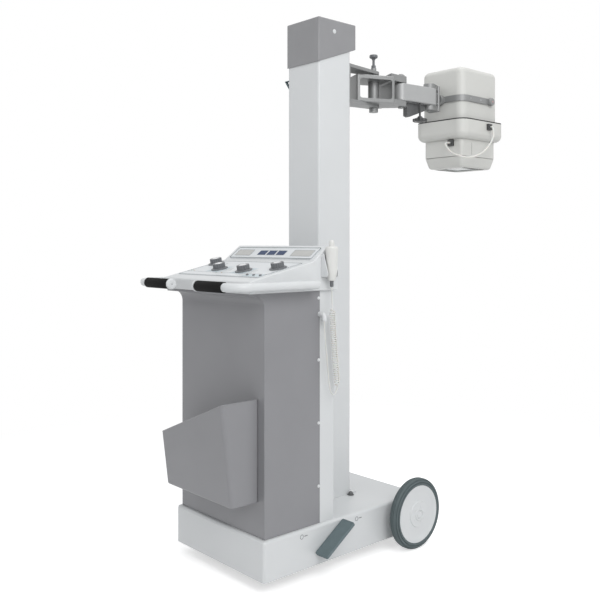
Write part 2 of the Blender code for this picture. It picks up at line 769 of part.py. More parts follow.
def casters():
    """Swivel forks with kingpins in the cross beam, and their wheels."""
    half_out = CASTER_WHEEL_WIDTH / 2 + 0.002 + FORK_SIDE
    half_in = CASTER_WHEEL_WIDTH / 2 + 0.002
    axle_z = CASTER_WHEEL_RADIUS
    crown = CASTER_WHEEL_RADIUS + 0.005
    for side, word in ((-1, "left"), (1, "right")):
        swivel = Vector((side * CASTER_X, CASTER_Y, FORK_TOP))
        hub = Vector((side * CASTER_X, CASTER_Y + CASTER_TRAIL, axle_z))
        joint("caster_swivel_" + word, swivel, "machine")
        joint("caster_roll_" + word, hub, "caster_swivel_" + word)
        drop = axle_z - FORK_TOP - 0.010
        outline = rounded([(-0.018, 0, 0), (-0.018, -0.012, 0.004), (CASTER_TRAIL - 0.010, drop, 0.008),
                           (CASTER_TRAIL + 0.010, drop, 0.008), (CASTER_TRAIL + 0.014, -0.014, 0.006),
                           (0.020, 0, 0)], 2)
        fork = prism("caster_fork_" + word, [outline], -half_out, half_out, "YZ", "steel")
        gap_low = axle_z - FORK_TOP - 0.050
        gap = box("wheel_gap", (-half_in, -0.100, gap_low), (half_in, 0.100, axle_z - FORK_TOP + crown),
                  group=CUTTERS)
        cut(fork, gap)
        pin = rod("kingpin", (0, 0, -0.002), KINGPIN_LENGTH, KINGPIN_RADIUS, sides=20)
        spindle = rod("spindle", (-half_out - 0.002, CASTER_TRAIL, axle_z - FORK_TOP), half_out * 2 + 0.004,
                      CASTER_AXLE_RADIUS, "X", sides=16)
        join(fork, pin, spindle)
        hang(smooth(fork), "caster_swivel_" + word, swivel)
        half = CASTER_WHEEL_WIDTH / 2
        bore = CASTER_AXLE_RADIUS + RUN
        tread = CASTER_WHEEL_RADIUS
        profile = [(bore, half), (0.010, half), (0.026, half - 0.004), (tread - 0.003, half - 0.001),
                   (tread, half - 0.005), (tread, -half + 0.005), (tread - 0.003, -half + 0.001),
                   (0.026, -half + 0.004), (0.010, -half), (bore, -half)]
        wheel = turned("caster_wheel_" + word, profile, "X", 24, True, "tyre_rubber")
        hang(wheel, "caster_roll_" + word, hub)


def brake_pedal():
    """Rocker plate on a shaft that passes through the base's side."""
    place = Vector((BASE_SIDE, PEDAL_Y, PEDAL_Z))
    joint("brake_rock", place, "machine")
    inner = PEDAL_SIDE_GAP
    outer = inner + PEDAL_WIDTH
    half = PEDAL_LENGTH / 2
    bottom = PEDAL_RISE - PEDAL_THICKNESS
    outline = rectangle(inner, -half, outer, half, 0.006)
    plate = prism("brake_pedal", [outline], bottom, PEDAL_RISE, "XY", "pedal_green")
    bevel(plate, 0.0015, 1)
    settle(plate)
    hub = rod("hub", (inner, 0, 0), PEDAL_WIDTH * 0.8, PEDAL_HUB_RADIUS, "X", 20)
    shaft = rod("shaft", (-PEDAL_SHAFT_REACH, 0, 0), PEDAL_SHAFT_REACH + inner + 0.010, PEDAL_SHAFT_RADIUS, "X", 20)
    join(plate, hub, shaft)
    turn_mesh(plate, PEDAL_TILT, "X")
    hang(smooth(plate), "brake_rock", place)


def front_cover_outline(inset, beyond):
    """Side view of the front cover with its concave flare, or of the space inside its sheet."""
    front = CABINET_INSET + inset
    seam = CABINET_SEAM_Y - SEAT / 2 + beyond
    top = CABINET_TOP + beyond
    low = CABINET_BOTTOM - beyond
    lip = CABINET_INSET - FLARE_REACH + inset
    middle = (CABINET_INSET - FLARE_RADIUS, CABINET_TOP - FLARE_LIP - FLARE_RADIUS)
    flare = arc(middle, FLARE_RADIUS + inset, 0, 90, 6)
    return [(front, low), (seam, low), (seam, top), (lip, top), (lip, flare[-1][1])] + flare[::-1]


def cabinet_covers():
    """Grey front cover with its flared top, and the white rear cover behind the seam."""
    radius = CABINET_CORNER_RADIUS
    side = CABINET_SIDE
    cover = prism("front_cover", [front_cover_outline(0, 0)], -side, side, "YZ", "grey_paint")
    lip_z = CABINET_TOP - FLARE_LIP - 0.0001
    round_edges(cover, radius, 3, lambda point: point.y < CABINET_INSET + 0.0001 and point.z < lip_z)
    space = prism("cover_space", [front_cover_outline(SHEET, 0.010)], -side + SHEET, side - SHEET, "YZ",
                  group=CUTTERS)
    round_edges(space, radius - SHEET, 3, lambda point: point.y < CABINET_INSET + SHEET + 0.0001
                and point.z < lip_z)
    hang(smooth(cut(cover, space)), "machine")
    low = (-side, CABINET_SEAM_Y + SEAT / 2, CABINET_BOTTOM)
    high = (side, CABINET_REAR_Y, CABINET_TOP)
    rear = box("rear_cover", low, high, "white_paint")
    open_shell(rear, SHEET, lambda normal, middle: abs(normal.z) > 0.9 or normal.y < -0.9)
    bevel(rear, radius, 3)
    rear.modifiers.move(1, 0)
    hang(smooth(settle(rear)), "machine")


def power_unit():
    """Laminated transformer with its winding, bolted to the deck inside the cabinet."""
    width, depth, height = POWER_UNIT_SIZE
    z0 = BASE_TOP + SEAT
    y0 = POWER_UNIT_Y - CORE_DEPTH / 2
    outer = rectangle(-width / 2, z0, width / 2, z0 + height)
    leg = width / 6
    windows = []
    for side in (-1, 1):
        middle = side * width / 4.5
        windows.append(rectangle(middle - leg / 2, z0 + leg, middle + leg / 2, z0 + height - leg))
    core = prism("power_unit", [outer, *windows], y0, y0 + CORE_DEPTH, "XZ", "cast_iron")
    coil = box("coil", (-width / 4, POWER_UNIT_Y - depth / 2, z0 + leg + 0.010),
               (width / 4, POWER_UNIT_Y + depth / 2, z0 + height - leg - 0.010))
    bevel(coil, 0.012, 2)
    join(core, settle(coil))
    hang(core, "machine")


def cassette_bin():
    """Leaning pocket of folded sheet with a sloping rim, open at the top."""
    back = CABINET_INSET - SEAT
    front_low = back - BIN_DEPTH_BOTTOM
    shape = bmesh.new()
    bmesh.ops.create_cube(shape, size=1)
    for vert in shape.verts:
        right = vert.co.x > 0
        x = BIN_RIGHT if right else BIN_LEFT
        top = BIN_TOP_RIGHT if right else BIN_TOP_LEFT
        z = top if vert.co.z > 0 else BIN_BOTTOM
        y = back if vert.co.y > 0 else front_low - (z - BIN_BOTTOM) * BIN_LEAN
        vert.co = (x, y, z)
    corners = [edge for edge in shape.edges
               if all(vert.co.y < back - 0.05 for vert in edge.verts)
               and (edge.verts[0].co.x > 0) == (edge.verts[1].co.x > 0)]
    bmesh.ops.bevel(shape, geom=corners, offset=BIN_CORNER, segments=3, profile=0.5, affect="EDGES")
    bmesh.ops.recalc_face_normals(shape, faces=shape.faces)
    mesh = bpy.data.meshes.new("cassette_bin")
    shape.to_mesh(mesh)
    shape.free()
    pocket = link("cassette_bin", mesh, "grey_paint")
    open_shell(pocket, BIN_WALL, lambda normal, middle: normal.z > 0.5)
    bevel(pocket, 0.005, 2)
    pocket.modifiers.move(1, 0)
    hang(smooth(settle(pocket)), "machine")


def console_outline():
    back = CABINET_REAR_Y
    return rounded([(CONSOLE_FRONT_Y, CONSOLE_BOTTOM, 0.004), (back, CONSOLE_BOTTOM, 0),
                    (back, CONSOLE_BACK_Z, 0.010), (CONSOLE_CREST_Y + CONSOLE_CREST_WIDTH, CONSOLE_CREST_Z, 0.006),
                    (CONSOLE_CREST_Y, CONSOLE_CREST_Z, 0.004), (CONSOLE_BEND_Y, CONSOLE_BEND_Z, 0),
                    (CONSOLE_FRONT_Y, CONSOLE_FRONT_TOP, 0.008)])


def on_slope(x, along, height=0.0):
    """A point on the control panel's slope, by distance up it and height off it."""
    y = CONSOLE_FRONT_Y + along * math.cos(CONTROL_SLOPE) - height * math.sin(CONTROL_SLOPE)
    z = CONSOLE_FRONT_TOP + along * math.sin(CONTROL_SLOPE) + height * math.cos(CONTROL_SLOPE)
    return Vector((x, y, z))


def slope_hole(name, x, along, depth, radius, sides=16):
    """A round cutter square to the control panel, from above it down to a depth."""
    tool = rod(name, (0, 0, -depth), depth + 0.020, radius, sides=sides, group=CUTTERS)
    tool.data.transform(Matrix.Translation(on_slope(x, along)) @ Matrix.Rotation(CONTROL_SLOPE, 4, "X"))
    return tool


def slope_plate(name, start, end, corner, pitch, finish):
    """A thin plate on one of the console's two slopes, a seat's gap above it."""
    side = BASE_SIDE - PANEL_SIDE_MARGIN
    outline = rectangle(-side, start, side, end, PANEL_CORNER_RADIUS)
    plate = prism(name, [outline], SEAT, SEAT + PANEL_THICKNESS, "XY", finish)
    plate.data.transform(Matrix.Translation(corner) @ Matrix.Rotation(pitch, 4, "X"))
    return plate


def console():
    """Console housing with its control panel, display panel, knobs and push buttons."""
    housing = prism("console_housing", [console_outline()], -BASE_SIDE, BASE_SIDE, "YZ", "white_paint")
    bevel(housing, CONSOLE_EDGE_RADIUS, 2, 60)
    settle(housing)
    panel = slope_plate("control_panel", CONTROL_PANEL_START, CONTROL_PANEL_END,
                        on_slope(0, 0), CONTROL_SLOPE, "panel_film")
    tops = Vector((0, CONSOLE_BEND_Y, CONSOLE_BEND_Z))
    display = slope_plate("display_panel", DISPLAY_PANEL_START, DISPLAY_PANEL_END,
                          tops, DISPLAY_SLOPE, "panel_film")
    for i, (x, along) in enumerate(KNOB_PLACES):
        for piece in (housing, panel):
            cut(piece, slope_hole("shaft_hole", x, along, KNOB_SHAFT_LENGTH + 0.001, KNOB_SHAFT_RADIUS + RUN))
        selector_knob(i + 1, x, along)
    for i, (x, along) in enumerate(BUTTON_PLACES):
        for piece in (housing, panel):
            cut(piece, slope_hole("button_hole", x, along, BUTTON_STEM + BUTTON_TRAVEL + 0.001,
                                  BUTTON_RADIUS + BUTTON_CLEARANCE))
        push_button(i + 1, x, along)
    for piece in (housing, panel, display):
        hang(smooth(piece), "machine")


def selector_knob(number, x, along):
    """Winged pointer knob on a round skirt, with its shaft in the housing."""
    name = "selector_knob_%d" % number
    foot = SEAT * 2 + PANEL_THICKNESS
    crown = KNOB_SKIRT_HEIGHT + 0.005
    profile = [(0, crown), (KNOB_RADIUS - 0.001, crown), (KNOB_RADIUS, KNOB_SKIRT_HEIGHT),
               (KNOB_SKIRT_RADIUS - 0.0015, KNOB_SKIRT_HEIGHT),
               (KNOB_SKIRT_RADIUS, KNOB_SKIRT_HEIGHT - 0.0015), (KNOB_SKIRT_RADIUS, 0),
               (KNOB_SHAFT_RADIUS, 0), (KNOB_SHAFT_RADIUS, -KNOB_SHAFT_LENGTH), (0, -KNOB_SHAFT_LENGTH)]
    knob = turned(name, profile, "Z", 20, False, "knob_grey")
    half = KNOB_WING / 2
    wing = box("wing", (-half, -KNOB_RADIUS - 0.0031, 0.0012), (half, KNOB_RADIUS + 0.0007, KNOB_HEIGHT))
    bevel(wing, 0.0015, 1)
    join(knob, settle(wing))
    place = on_slope(x, along, foot)
    joint("knob_turn_%d" % number, place, "machine")
    hang(smooth(knob), "knob_turn_%d" % number, place)
    knob.rotation_euler.x = CONTROL_SLOPE


def push_button(number, x, along):
    top = SEAT + PANEL_THICKNESS + BUTTON_PROUD
    profile = [(0, top), (BUTTON_RADIUS - 0.001, top), (BUTTON_RADIUS, top - 0.001),
               (BUTTON_RADIUS, -BUTTON_STEM), (0, -BUTTON_STEM)]
    button = turned("push_button_%d" % number, profile, "Z", 16, False, "knob_grey")
    place = on_slope(x, along)
    joint("button_press_%d" % number, place, "machine")
    hang(button, "button_press_%d" % number, place)
    button.rotation_euler.x = CONTROL_SLOPE


def handle_line(side):
    """The right or left handle's centre line, from its rear end round the corner to its inner end."""
    bend = HANDLE_BEND
    line = [(HANDLE_X, HANDLE_REAR_Y), (HANDLE_X, (HANDLE_REAR_Y + HANDLE_FRONT_Y) / 2)]
    line += arc((HANDLE_X - bend, HANDLE_FRONT_Y + bend), bend, 0, -90, 8)
    line += [(HANDLE_INNER_X, HANDLE_FRONT_Y)]
    return [(side * x, y, HANDLE_Z) for x, y in line]


def handles():
    """Bent tube handles with foam grips and end caps, standing off the console on two bosses each."""
    for side, word in ((-1, "left"), (1, "right")):
        rail = tube("handle_" + word, handle_line(side), HANDLE_RADIUS, "white_paint", 3)
        reach = HANDLE_X - BASE_SIDE - SEAT
        start = side * HANDLE_X if side < 0 else BASE_SIDE + SEAT
        for y in HANDLE_BOSS_PLACES:
            boss = rod("boss", (start, y, HANDLE_Z), reach, HANDLE_BOSS_RADIUS, "X", 16)
            join(rail, boss)
        low = HANDLE_INNER_X - 0.010
        depth = END_CAP_PLUG + 0.012
        hole_start = low if side > 0 else -low - depth
        plug_hole = rod("plug_hole", (hole_start, HANDLE_FRONT_Y, HANDLE_Z), depth,
                        HANDLE_RADIUS * 0.7 + RUN, "X", 20, group=CUTTERS)
        cut(rail, plug_hole)
        hang(smooth(rail), "machine")
        foam_profile = [(GRIP_RADIUS - 0.001, GRIP_LENGTH / 2), (GRIP_RADIUS, GRIP_LENGTH / 2 - 0.001),
                        (GRIP_RADIUS, -GRIP_LENGTH / 2 + 0.001), (GRIP_RADIUS - 0.001, -GRIP_LENGTH / 2),
                        (HANDLE_RADIUS + SEAT, -GRIP_LENGTH / 2), (HANDLE_RADIUS + SEAT, GRIP_LENGTH / 2)]
        foam = turned("grip_" + word, foam_profile, "X", 24, True, "black_foam")
        middle = side * (HANDLE_INNER_X + SEAT + GRIP_LENGTH / 2)
        hang(foam, "machine", (middle, HANDLE_FRONT_Y, HANDLE_Z))
        plug = HANDLE_RADIUS * 0.7
        cap_profile = [(0, END_CAP_LENGTH), (END_CAP_RADIUS - 0.002, END_CAP_LENGTH),
                       (END_CAP_RADIUS, END_CAP_LENGTH - 0.002), (END_CAP_RADIUS, SEAT),
                       (plug, SEAT), (plug, -END_CAP_PLUG), (0, -END_CAP_PLUG)]
        cap = turned("end_cap_" + word, cap_profile, "X", 20, False, "white_paint")
        if side > 0:
            turn_mesh(cap, math.pi)
        hang(cap, "machine", (side * HANDLE_INNER_X, HANDLE_FRONT_Y, HANDLE_Z))


def handset():
    """Round tapered hand switch with a sprung exposure button, carried by its taper in the holder."""
    place = Vector((HANDSET_X, HANDSET_Y, HANDSET_SEAT_Z))
    joint("handset_lift", place, "machine")
    top = HANDSET_TOP - HANDSET_SEAT_Z
    foot = HANDSET_FOOT_Z - HANDSET_SEAT_Z
    well = EXPOSURE_BUTTON_RADIUS + RUN
    floor = top - EXPOSURE_BUTTON_DEPTH - EXPOSURE_TRAVEL
    wide = HANDSET_TOP_RADIUS
    profile = [(0, floor), (well, floor), (well, top), (wide - 0.007, top), (wide - 0.002, top - 0.002),
               (wide, top - 0.008), (HANDSET_SEAT_RADIUS, 0), (HANDSET_FOOT_RADIUS + 0.002, foot + 0.006),
               (HANDSET_FOOT_RADIUS - 0.002, foot), (RELIEF_RADIUS, foot),
               (RELIEF_RADIUS, foot - RELIEF_LENGTH), (0, foot - RELIEF_LENGTH)]
    hang(turned("handset", profile, "Z", 24, False, "cream_plastic"), "handset_lift", place)
    crown = Vector((HANDSET_X, HANDSET_Y, HANDSET_TOP))
    joint("exposure_press", crown, "handset_lift")
    proud = EXPOSURE_BUTTON_PROUD
    radius = EXPOSURE_BUTTON_RADIUS
    profile = [(0, proud), (radius * 0.55, proud - 0.001), (radius * 0.85, proud - 0.004),
               (radius, proud - 0.010),
               (radius, -EXPOSURE_BUTTON_DEPTH), (0, -EXPOSURE_BUTTON_DEPTH)]
    hang(turned("exposure_button", profile, "Z", 20, False, "cream_plastic"), "exposure_press", crown)


def handset_holder():
    """Cradle on the console's side, open towards +X, with a tapered bore that carries the hand switch."""
    x0 = BASE_SIDE + SEAT
    z0 = HANDSET_SEAT_Z
    z1 = z0 + HOLDER_HEIGHT
    slant = (HANDSET_TOP_RADIUS - HANDSET_SEAT_RADIUS) / (HANDSET_TOP - 0.008 - HANDSET_SEAT_Z)
    half = HANDSET_SEAT_RADIUS + slant * HOLDER_HEIGHT + SEAT + HOLDER_WALL
    outline = rounded([(x0, HANDSET_Y - half, 0), (x0 + HOLDER_REACH, HANDSET_Y - half, 0.004),
                       (x0 + HOLDER_REACH, HANDSET_Y + half, 0.004), (x0, HANDSET_Y + half, 0)], 2)
    block = prism("handset_holder", [outline], z0, z1, "XY", "white_paint")
    extra = 0.010
    low = HANDSET_SEAT_RADIUS + SEAT - slant * extra
    bore = rod("tapered_bore", (HANDSET_X, HANDSET_Y, z0 - extra), HOLDER_HEIGHT + extra * 2, low, sides=24,
               group=CUTTERS, end_radius=low + slant * (HOLDER_HEIGHT + extra * 2))
    mouth = box("mouth", (HANDSET_X, HANDSET_Y - HOLDER_MOUTH / 2, z0 - extra),
                (x0 + HOLDER_REACH + extra, HANDSET_Y + HOLDER_MOUTH / 2, z1 + extra), group=CUTTERS)
    cut(block, bore, mouth)
    hang(smooth(block), "machine")


def smooth_route(points, spacing):
    """Evenly spaced points on a smooth curve through the route, with its first and last legs straight."""
    points = [Vector(point) for point in points]
    spaced = [points[0], points[1]]
    for i in range(1, len(points) - 2):
        before, here, ahead, after = points[i - 1:i + 3]
        for k in range(1, 13):
            t = k / 12
            point = 0.5 * (2 * here + (ahead - before) * t
                           + (2 * before - 5 * here + 4 * ahead - after) * t ** 2
                           + (3 * here - before - 3 * ahead + after) * t ** 3)
            if (point - spaced[-1]).length >= spacing:
                spaced.append(point)
    if (points[-2] - spaced[-1]).length < spacing * 0.6:
        spaced.pop()
    return spaced + [points[-2], points[-1]]


# The curly cord's route from the hand switch down, round, and up to its elbow gland
CURLY_ROUTE = (
    (0.2680, 0.2690, 0.9527), (0.2681, 0.2694, 0.9300), (0.2684, 0.2720, 0.8600), (0.2684, 0.2780, 0.7800),
    (0.2684, 0.2860, 0.7000), (0.2680, 0.2920, 0.6450), (0.2672, 0.2925, 0.6150), (0.2655, 0.2860, 0.5980),
    (0.2630, 0.2770, 0.5970), (0.2606, 0.2690, 0.6130), (0.2590, 0.2630, 0.6500), (0.2575, 0.2570, 0.7200),
    (0.2552, 0.2515, 0.7800), (0.2540, 0.2488, 0.8150), (0.2538, 0.2485, 0.8397),
)


def head_route():
    """From the tray's socket, down round the head's near corner, to the collimator's socket."""
    side = HEAD_X + HEAD_WIDTH / 2 + TRAY_FLANGE
    start = side + SOCKET_DEPTH + SEAT
    end = HEAD_MIDDLE.y - COLLIMATOR_LENGTH / 2 - SOCKET_DEPTH - SEAT
    y, z = TRAY_SOCKET
    x_end, z_end = COLLIMATOR_SOCKET
    return ((start, y, z), (start + 0.006, y, z), (side + 0.027, y - 0.003, z - 0.018),
            (side + 0.032, y - 0.015, z - 0.050), (side + 0.031, y - 0.045, z - 0.088),
            (side + 0.026, y - 0.085, z - 0.118), (side + 0.019, y - 0.135, z - 0.136),
            (side + 0.009, y - 0.173, z - 0.140), (side - 0.007, y - 0.190, z - 0.134),
            (x_end + 0.041, y - 0.196, z_end - 0.048), (x_end + 0.019, y - 0.196, z_end - 0.026),
            (x_end + 0.007, y - 0.194, z_end - 0.008), (x_end, end - 0.008, z_end), (x_end, end, z_end))


def cords():
    """The hand switch's cord as one tube of its coil's outer size, its gland, and the head's short cord."""
    curly = tube("handset_cord", smooth_route(CURLY_ROUTE, CURLY_CORD_RADIUS * 3.2), CURLY_CORD_RADIUS,
                 "cream_plastic", 2)
    hang(curly, "machine")
    gland = tube("cord_gland", [(CABINET_SIDE + SEAT, CORD_BUSH_Y, CORD_BUSH_Z),
                                (CORD_BUSH_X - 0.006, CORD_BUSH_Y, CORD_BUSH_Z),
                                (CORD_BUSH_X, CORD_BUSH_Y, CORD_BUSH_Z - 0.006),
                                (CORD_BUSH_X, CORD_BUSH_Y, CORD_BUSH_Z - CORD_BUSH_DROP)],
                 CORD_BUSH_RADIUS, "knob_grey", 3)
    hang(gland, "machine")
    lead = tube("head_cord", smooth_route(head_route(), HEAD_CORD_RADIUS * 2.6), HEAD_CORD_RADIUS,
                "white_paint", 2)
    hang(lead, "head_roll")


def column():
    """Folded channel with a rear slot for the carriage's neck."""
    half = COLUMN_WIDTH / 2
    wall = COLUMN_WALL
    slot = COLUMN_SLOT / 2
    front, rear = COLUMN_FRONT_Y, COLUMN_REAR_Y
    outer = COLUMN_CORNER
    inner = COLUMN_CORNER - wall
    outline = rounded([(slot, rear, 0), (half, rear, outer), (half, front, outer), (-half, front, outer),
                       (-half, rear, outer), (-slot, rear, 0), (-slot, rear - wall, 0),
                       (-half + wall, rear - wall, inner), (-half + wall, front + wall, inner),
                       (half - wall, front + wall, inner), (half - wall, rear - wall, inner),
                       (slot, rear - wall, 0)], 2)
    post = prism("column", [outline], COLUMN_BOTTOM, COLUMN_TOP, "XY", "white_paint")
    for side in (-1, 1):
        x0, x1 = sorted((side * (slot + 0.004), side * half))
        join(post, box("foot", (x0, rear - 0.002, COLUMN_BOTTOM),
                       (x1, rear + COLUMN_FOOT, COLUMN_BOTTOM + COLUMN_FOOT_THICKNESS)))
    hang(smooth(post), "machine")


def cable_hook():
    """Folded strip hook on the column's far side."""
    face = -COLUMN_WIDTH / 2 - SEAT
    thick = HOOK_THICKNESS
    low = HOOK_TOP - HOOK_HEIGHT
    out = face - HOOK_REACH
    outline = [(face, low), (face, HOOK_TOP), (face - thick, HOOK_TOP), (face - thick, low + thick),
               (out + thick, low + thick), (out + thick, low + HOOK_HEIGHT / 2), (out, low + HOOK_HEIGHT / 2),
               (out, low)]
    y0 = COLUMN_FRONT_Y + COLUMN_CORNER
    hang(prism("cable_hook", [outline], y0, y0 + HOOK_WIDTH, "XZ", "pedal_green"), "machine")


def column_cap():
    """Grey cap that hides the pulley. Its sides rise towards the rear, where the arm passes."""
    half = COLUMN_WIDTH / 2 + SEAT + CAP_WALL
    front = COLUMN_FRONT_Y - SEAT - CAP_WALL
    rear = COLUMN_REAR_Y + CAP_OVERHANG
    outline = [(front, CAP_FRONT_BOTTOM), (rear, CAP_REAR_BOTTOM), (rear, CAP_TOP), (front, CAP_TOP)]
    cap = prism("column_cap", [outline], -half, half, "YZ", "grey_paint")
    open_shell(cap, CAP_WALL, lambda normal, middle: normal.z < -0.5)
    bevel(cap, 0.003, 1)
    cap.modifiers.move(1, 0)
    hang(smooth(settle(cap)), "machine")


def column_bracket():
    """Channel that ties the cabinet's rear cover to the column."""
    y0 = CABINET_REAR_Y + SEAT
    y1 = COLUMN_FRONT_Y - SEAT
    half = BRACKET_WIDTH / 2
    wall = 0.004
    outline = [(-half, y1), (-half, y0), (half, y0), (half, y1), (half - wall, y1),
               (half - wall, y0 + wall), (-half + wall, y0 + wall), (-half + wall, y1)]
    hang(prism("column_bracket", [outline], BRACKET_BOTTOM, BRACKET_TOP, "XY", "white_paint"), "machine")


def balance():
    """Pulley in its bracket at the column's head, and the counterweight that rides in front."""
    inner_front = COLUMN_FRONT_Y + COLUMN_WALL
    inner_rear = COLUMN_REAR_Y - COLUMN_WALL
    weight_front = inner_front + WEIGHT_CLEARANCE
    weight_middle = weight_front + WEIGHT_DEPTH / 2
    rope_rear = inner_rear - SHOE_CLEARANCE - SHOE_DEPTH / 2
    pulley_y = (weight_middle + rope_rear) / 2
    place = Vector((0, pulley_y, PULLEY_Z))
    joint("pulley_turn", place, "machine")
    half = PULLEY_WIDTH / 2
    bore = PULLEY_PIN_RADIUS + RUN
    profile = [(bore, half), (PULLEY_RADIUS, half), (PULLEY_RADIUS, half - 0.002), (PULLEY_RADIUS - 0.006, 0),
               (PULLEY_RADIUS, -half + 0.002), (PULLEY_RADIUS, -half), (bore, -half)]
    hang(turned("pulley", profile, "X", 28, True, "steel"), "pulley_turn", place)
    cheek = half + 0.001
    side = COLUMN_WIDTH / 2 - COLUMN_WALL - SEAT
    drop = PULLEY_Z - 0.055
    base = PULLEY_Z - 0.047
    shelf = box("pulley_bracket", (-side, pulley_y - 0.014, drop), (side, pulley_y + 0.014, base), "dark_metal")
    pieces = []
    for sign in (-1, 1):
        x0 = sign * cheek
        x1 = sign * (cheek + PULLEY_CHEEK)
        pieces.append(box("cheek", (min(x0, x1), pulley_y - 0.014, drop + 0.001),
                          (max(x0, x1), pulley_y + 0.014, PULLEY_Z + 0.012)))
    pieces.append(rod("pulley_pin", (-cheek - PULLEY_CHEEK - 0.002, pulley_y, PULLEY_Z),
                      (cheek + PULLEY_CHEEK + 0.002) * 2, PULLEY_PIN_RADIUS, "X", 20))
    join(shelf, *pieces)
    hang(shelf, "machine")
    low = Vector((0, weight_middle, WEIGHT_TOP_AT_REST - WEIGHT_HEIGHT / 2))
    joint("weight_travel", low, "machine")
    half_depth = WEIGHT_DEPTH / 2
    half_width = COLUMN_WIDTH / 2 - COLUMN_WALL - WEIGHT_CLEARANCE
    block = box("counterweight", (-half_width, -half_depth, -WEIGHT_HEIGHT / 2),
                (half_width, half_depth, WEIGHT_HEIGHT / 2), "cast_iron")
    bevel(block, COLUMN_CORNER - COLUMN_WALL, 1)
    settle(block)
    eye = rod("rope_stud", (0, 0, WEIGHT_HEIGHT / 2 - 0.002), 0.020, 0.006, sides=16)
    join(block, eye)
    hang(block, "weight_travel", low)


def carriage():
    """Shoe inside the column, neck through the slot, and the bracket whose two lugs hold the arm's pivot."""
    place = Vector((0, COLUMN_REAR_Y, CARRIAGE_MIDDLE_Z))
    joint("carriage_lift", place, "machine")
    z0 = CARRIAGE_MIDDLE_Z - CARRIAGE_HEIGHT / 2
    z1 = CARRIAGE_MIDDLE_Z + CARRIAGE_HEIGHT / 2
    inner_rear = COLUMN_REAR_Y - COLUMN_WALL
    shoe_side = COLUMN_WIDTH / 2 - COLUMN_WALL - SHOE_CLEARANCE
    shoe = box("carriage", (-shoe_side, inner_rear - SHOE_CLEARANCE - SHOE_DEPTH, z0 - 0.030),
               (shoe_side, inner_rear - SHOE_CLEARANCE, z1 + 0.010), "arm_metal")
    bevel(shoe, COLUMN_CORNER - COLUMN_WALL, 2)
    settle(shoe)
    neck_side = COLUMN_SLOT / 2 - NECK_CLEARANCE
    plate_y = COLUMN_REAR_Y + CARRIAGE_PLATE_GAP
    neck = box("neck", (-neck_side, inner_rear - SHOE_CLEARANCE - 0.010, z0 - 0.010),
               (neck_side, plate_y + 0.010, z1))
    wide = CARRIAGE_PLATE_WIDTH / 2
    plate = box("plate", (-wide, plate_y, z0), (wide, plate_y + CARRIAGE_PLATE, z1))
    bevel(plate, 0.005, 2)
    settle(plate)
    lug_low = ARM_1_BOTTOM_Z - SEAT - LUG_THICKNESS
    pieces = [neck, plate]
    root = plate_y + CARRIAGE_PLATE - 0.004
    spread = wide - 0.008
    for low, high in ((lug_low, lug_low + LUG_THICKNESS), (z1 - LUG_THICKNESS, z1)):
        half = LUG_WIDTH / 2
        outline = [(-spread, root), (spread, root)] + arc((0, SHOULDER_Y), half, 0, 180, 10)
        pieces.append(prism("lug", [outline], low, high))
    boss_top = ARM_1_BOTTOM_Z + ARM_1_HEIGHT + SEAT
    pieces.append(rod("upper_boss", (0, SHOULDER_Y, boss_top), z1 - boss_top - 0.001, HUB_RADIUS * 0.8, sides=24))
    pieces.append(rod("lower_boss", (0, SHOULDER_Y, lug_low - 0.016), 0.018, HUB_RADIUS * 0.8, sides=24))
    join(shoe, *pieces)
    pin = rod("shoulder_pin", (0, SHOULDER_Y, lug_low - 0.010), z1 + 0.014 - lug_low + 0.010, PIVOT_RADIUS, sides=24)
    join(shoe, pin)
    tap = rod("screw_hole", (0, SHOULDER_Y, z1 - 0.010), 0.060, STEM_RADIUS + RUN, sides=16, group=CUTTERS)
    cut(shoe, tap)
    hang(smooth(shoe), "carriage_lift")
    shift_to_axis(shoe, place)
    knob_place = Vector((0, SHOULDER_Y, z1 + 0.014))
    joint("shoulder_clamp", knob_place, "carriage_lift")
    rise = T_KNOB_Z - knob_place.z
    crown = rise + T_KNOB_HEIGHT
    profile = [(0, crown), (T_KNOB_RADIUS - 0.003, crown), (T_KNOB_RADIUS, crown - 0.003),
               (T_KNOB_RADIUS, rise + 0.004), (T_KNOB_RADIUS * 0.6, rise), (STEM_RADIUS + 0.001, rise - 0.007),
               (STEM_RADIUS + 0.001, 0.012), (0.009, 0.011), (0.009, SEAT), (STEM_RADIUS, SEAT),
               (STEM_RADIUS, -0.020), (0, -0.020)]
    knob = turned("shoulder_clamp_knob", profile, "Z", 20, False, "dark_metal")
    hang(knob, "shoulder_clamp", knob_place)


def shift_to_axis(piece, place):
    """Keeps a shape where it is and gives it an origin on its joint's axis."""
    piece.data.transform(Matrix.Translation(-Vector(place)))
    piece.location += Vector(place)


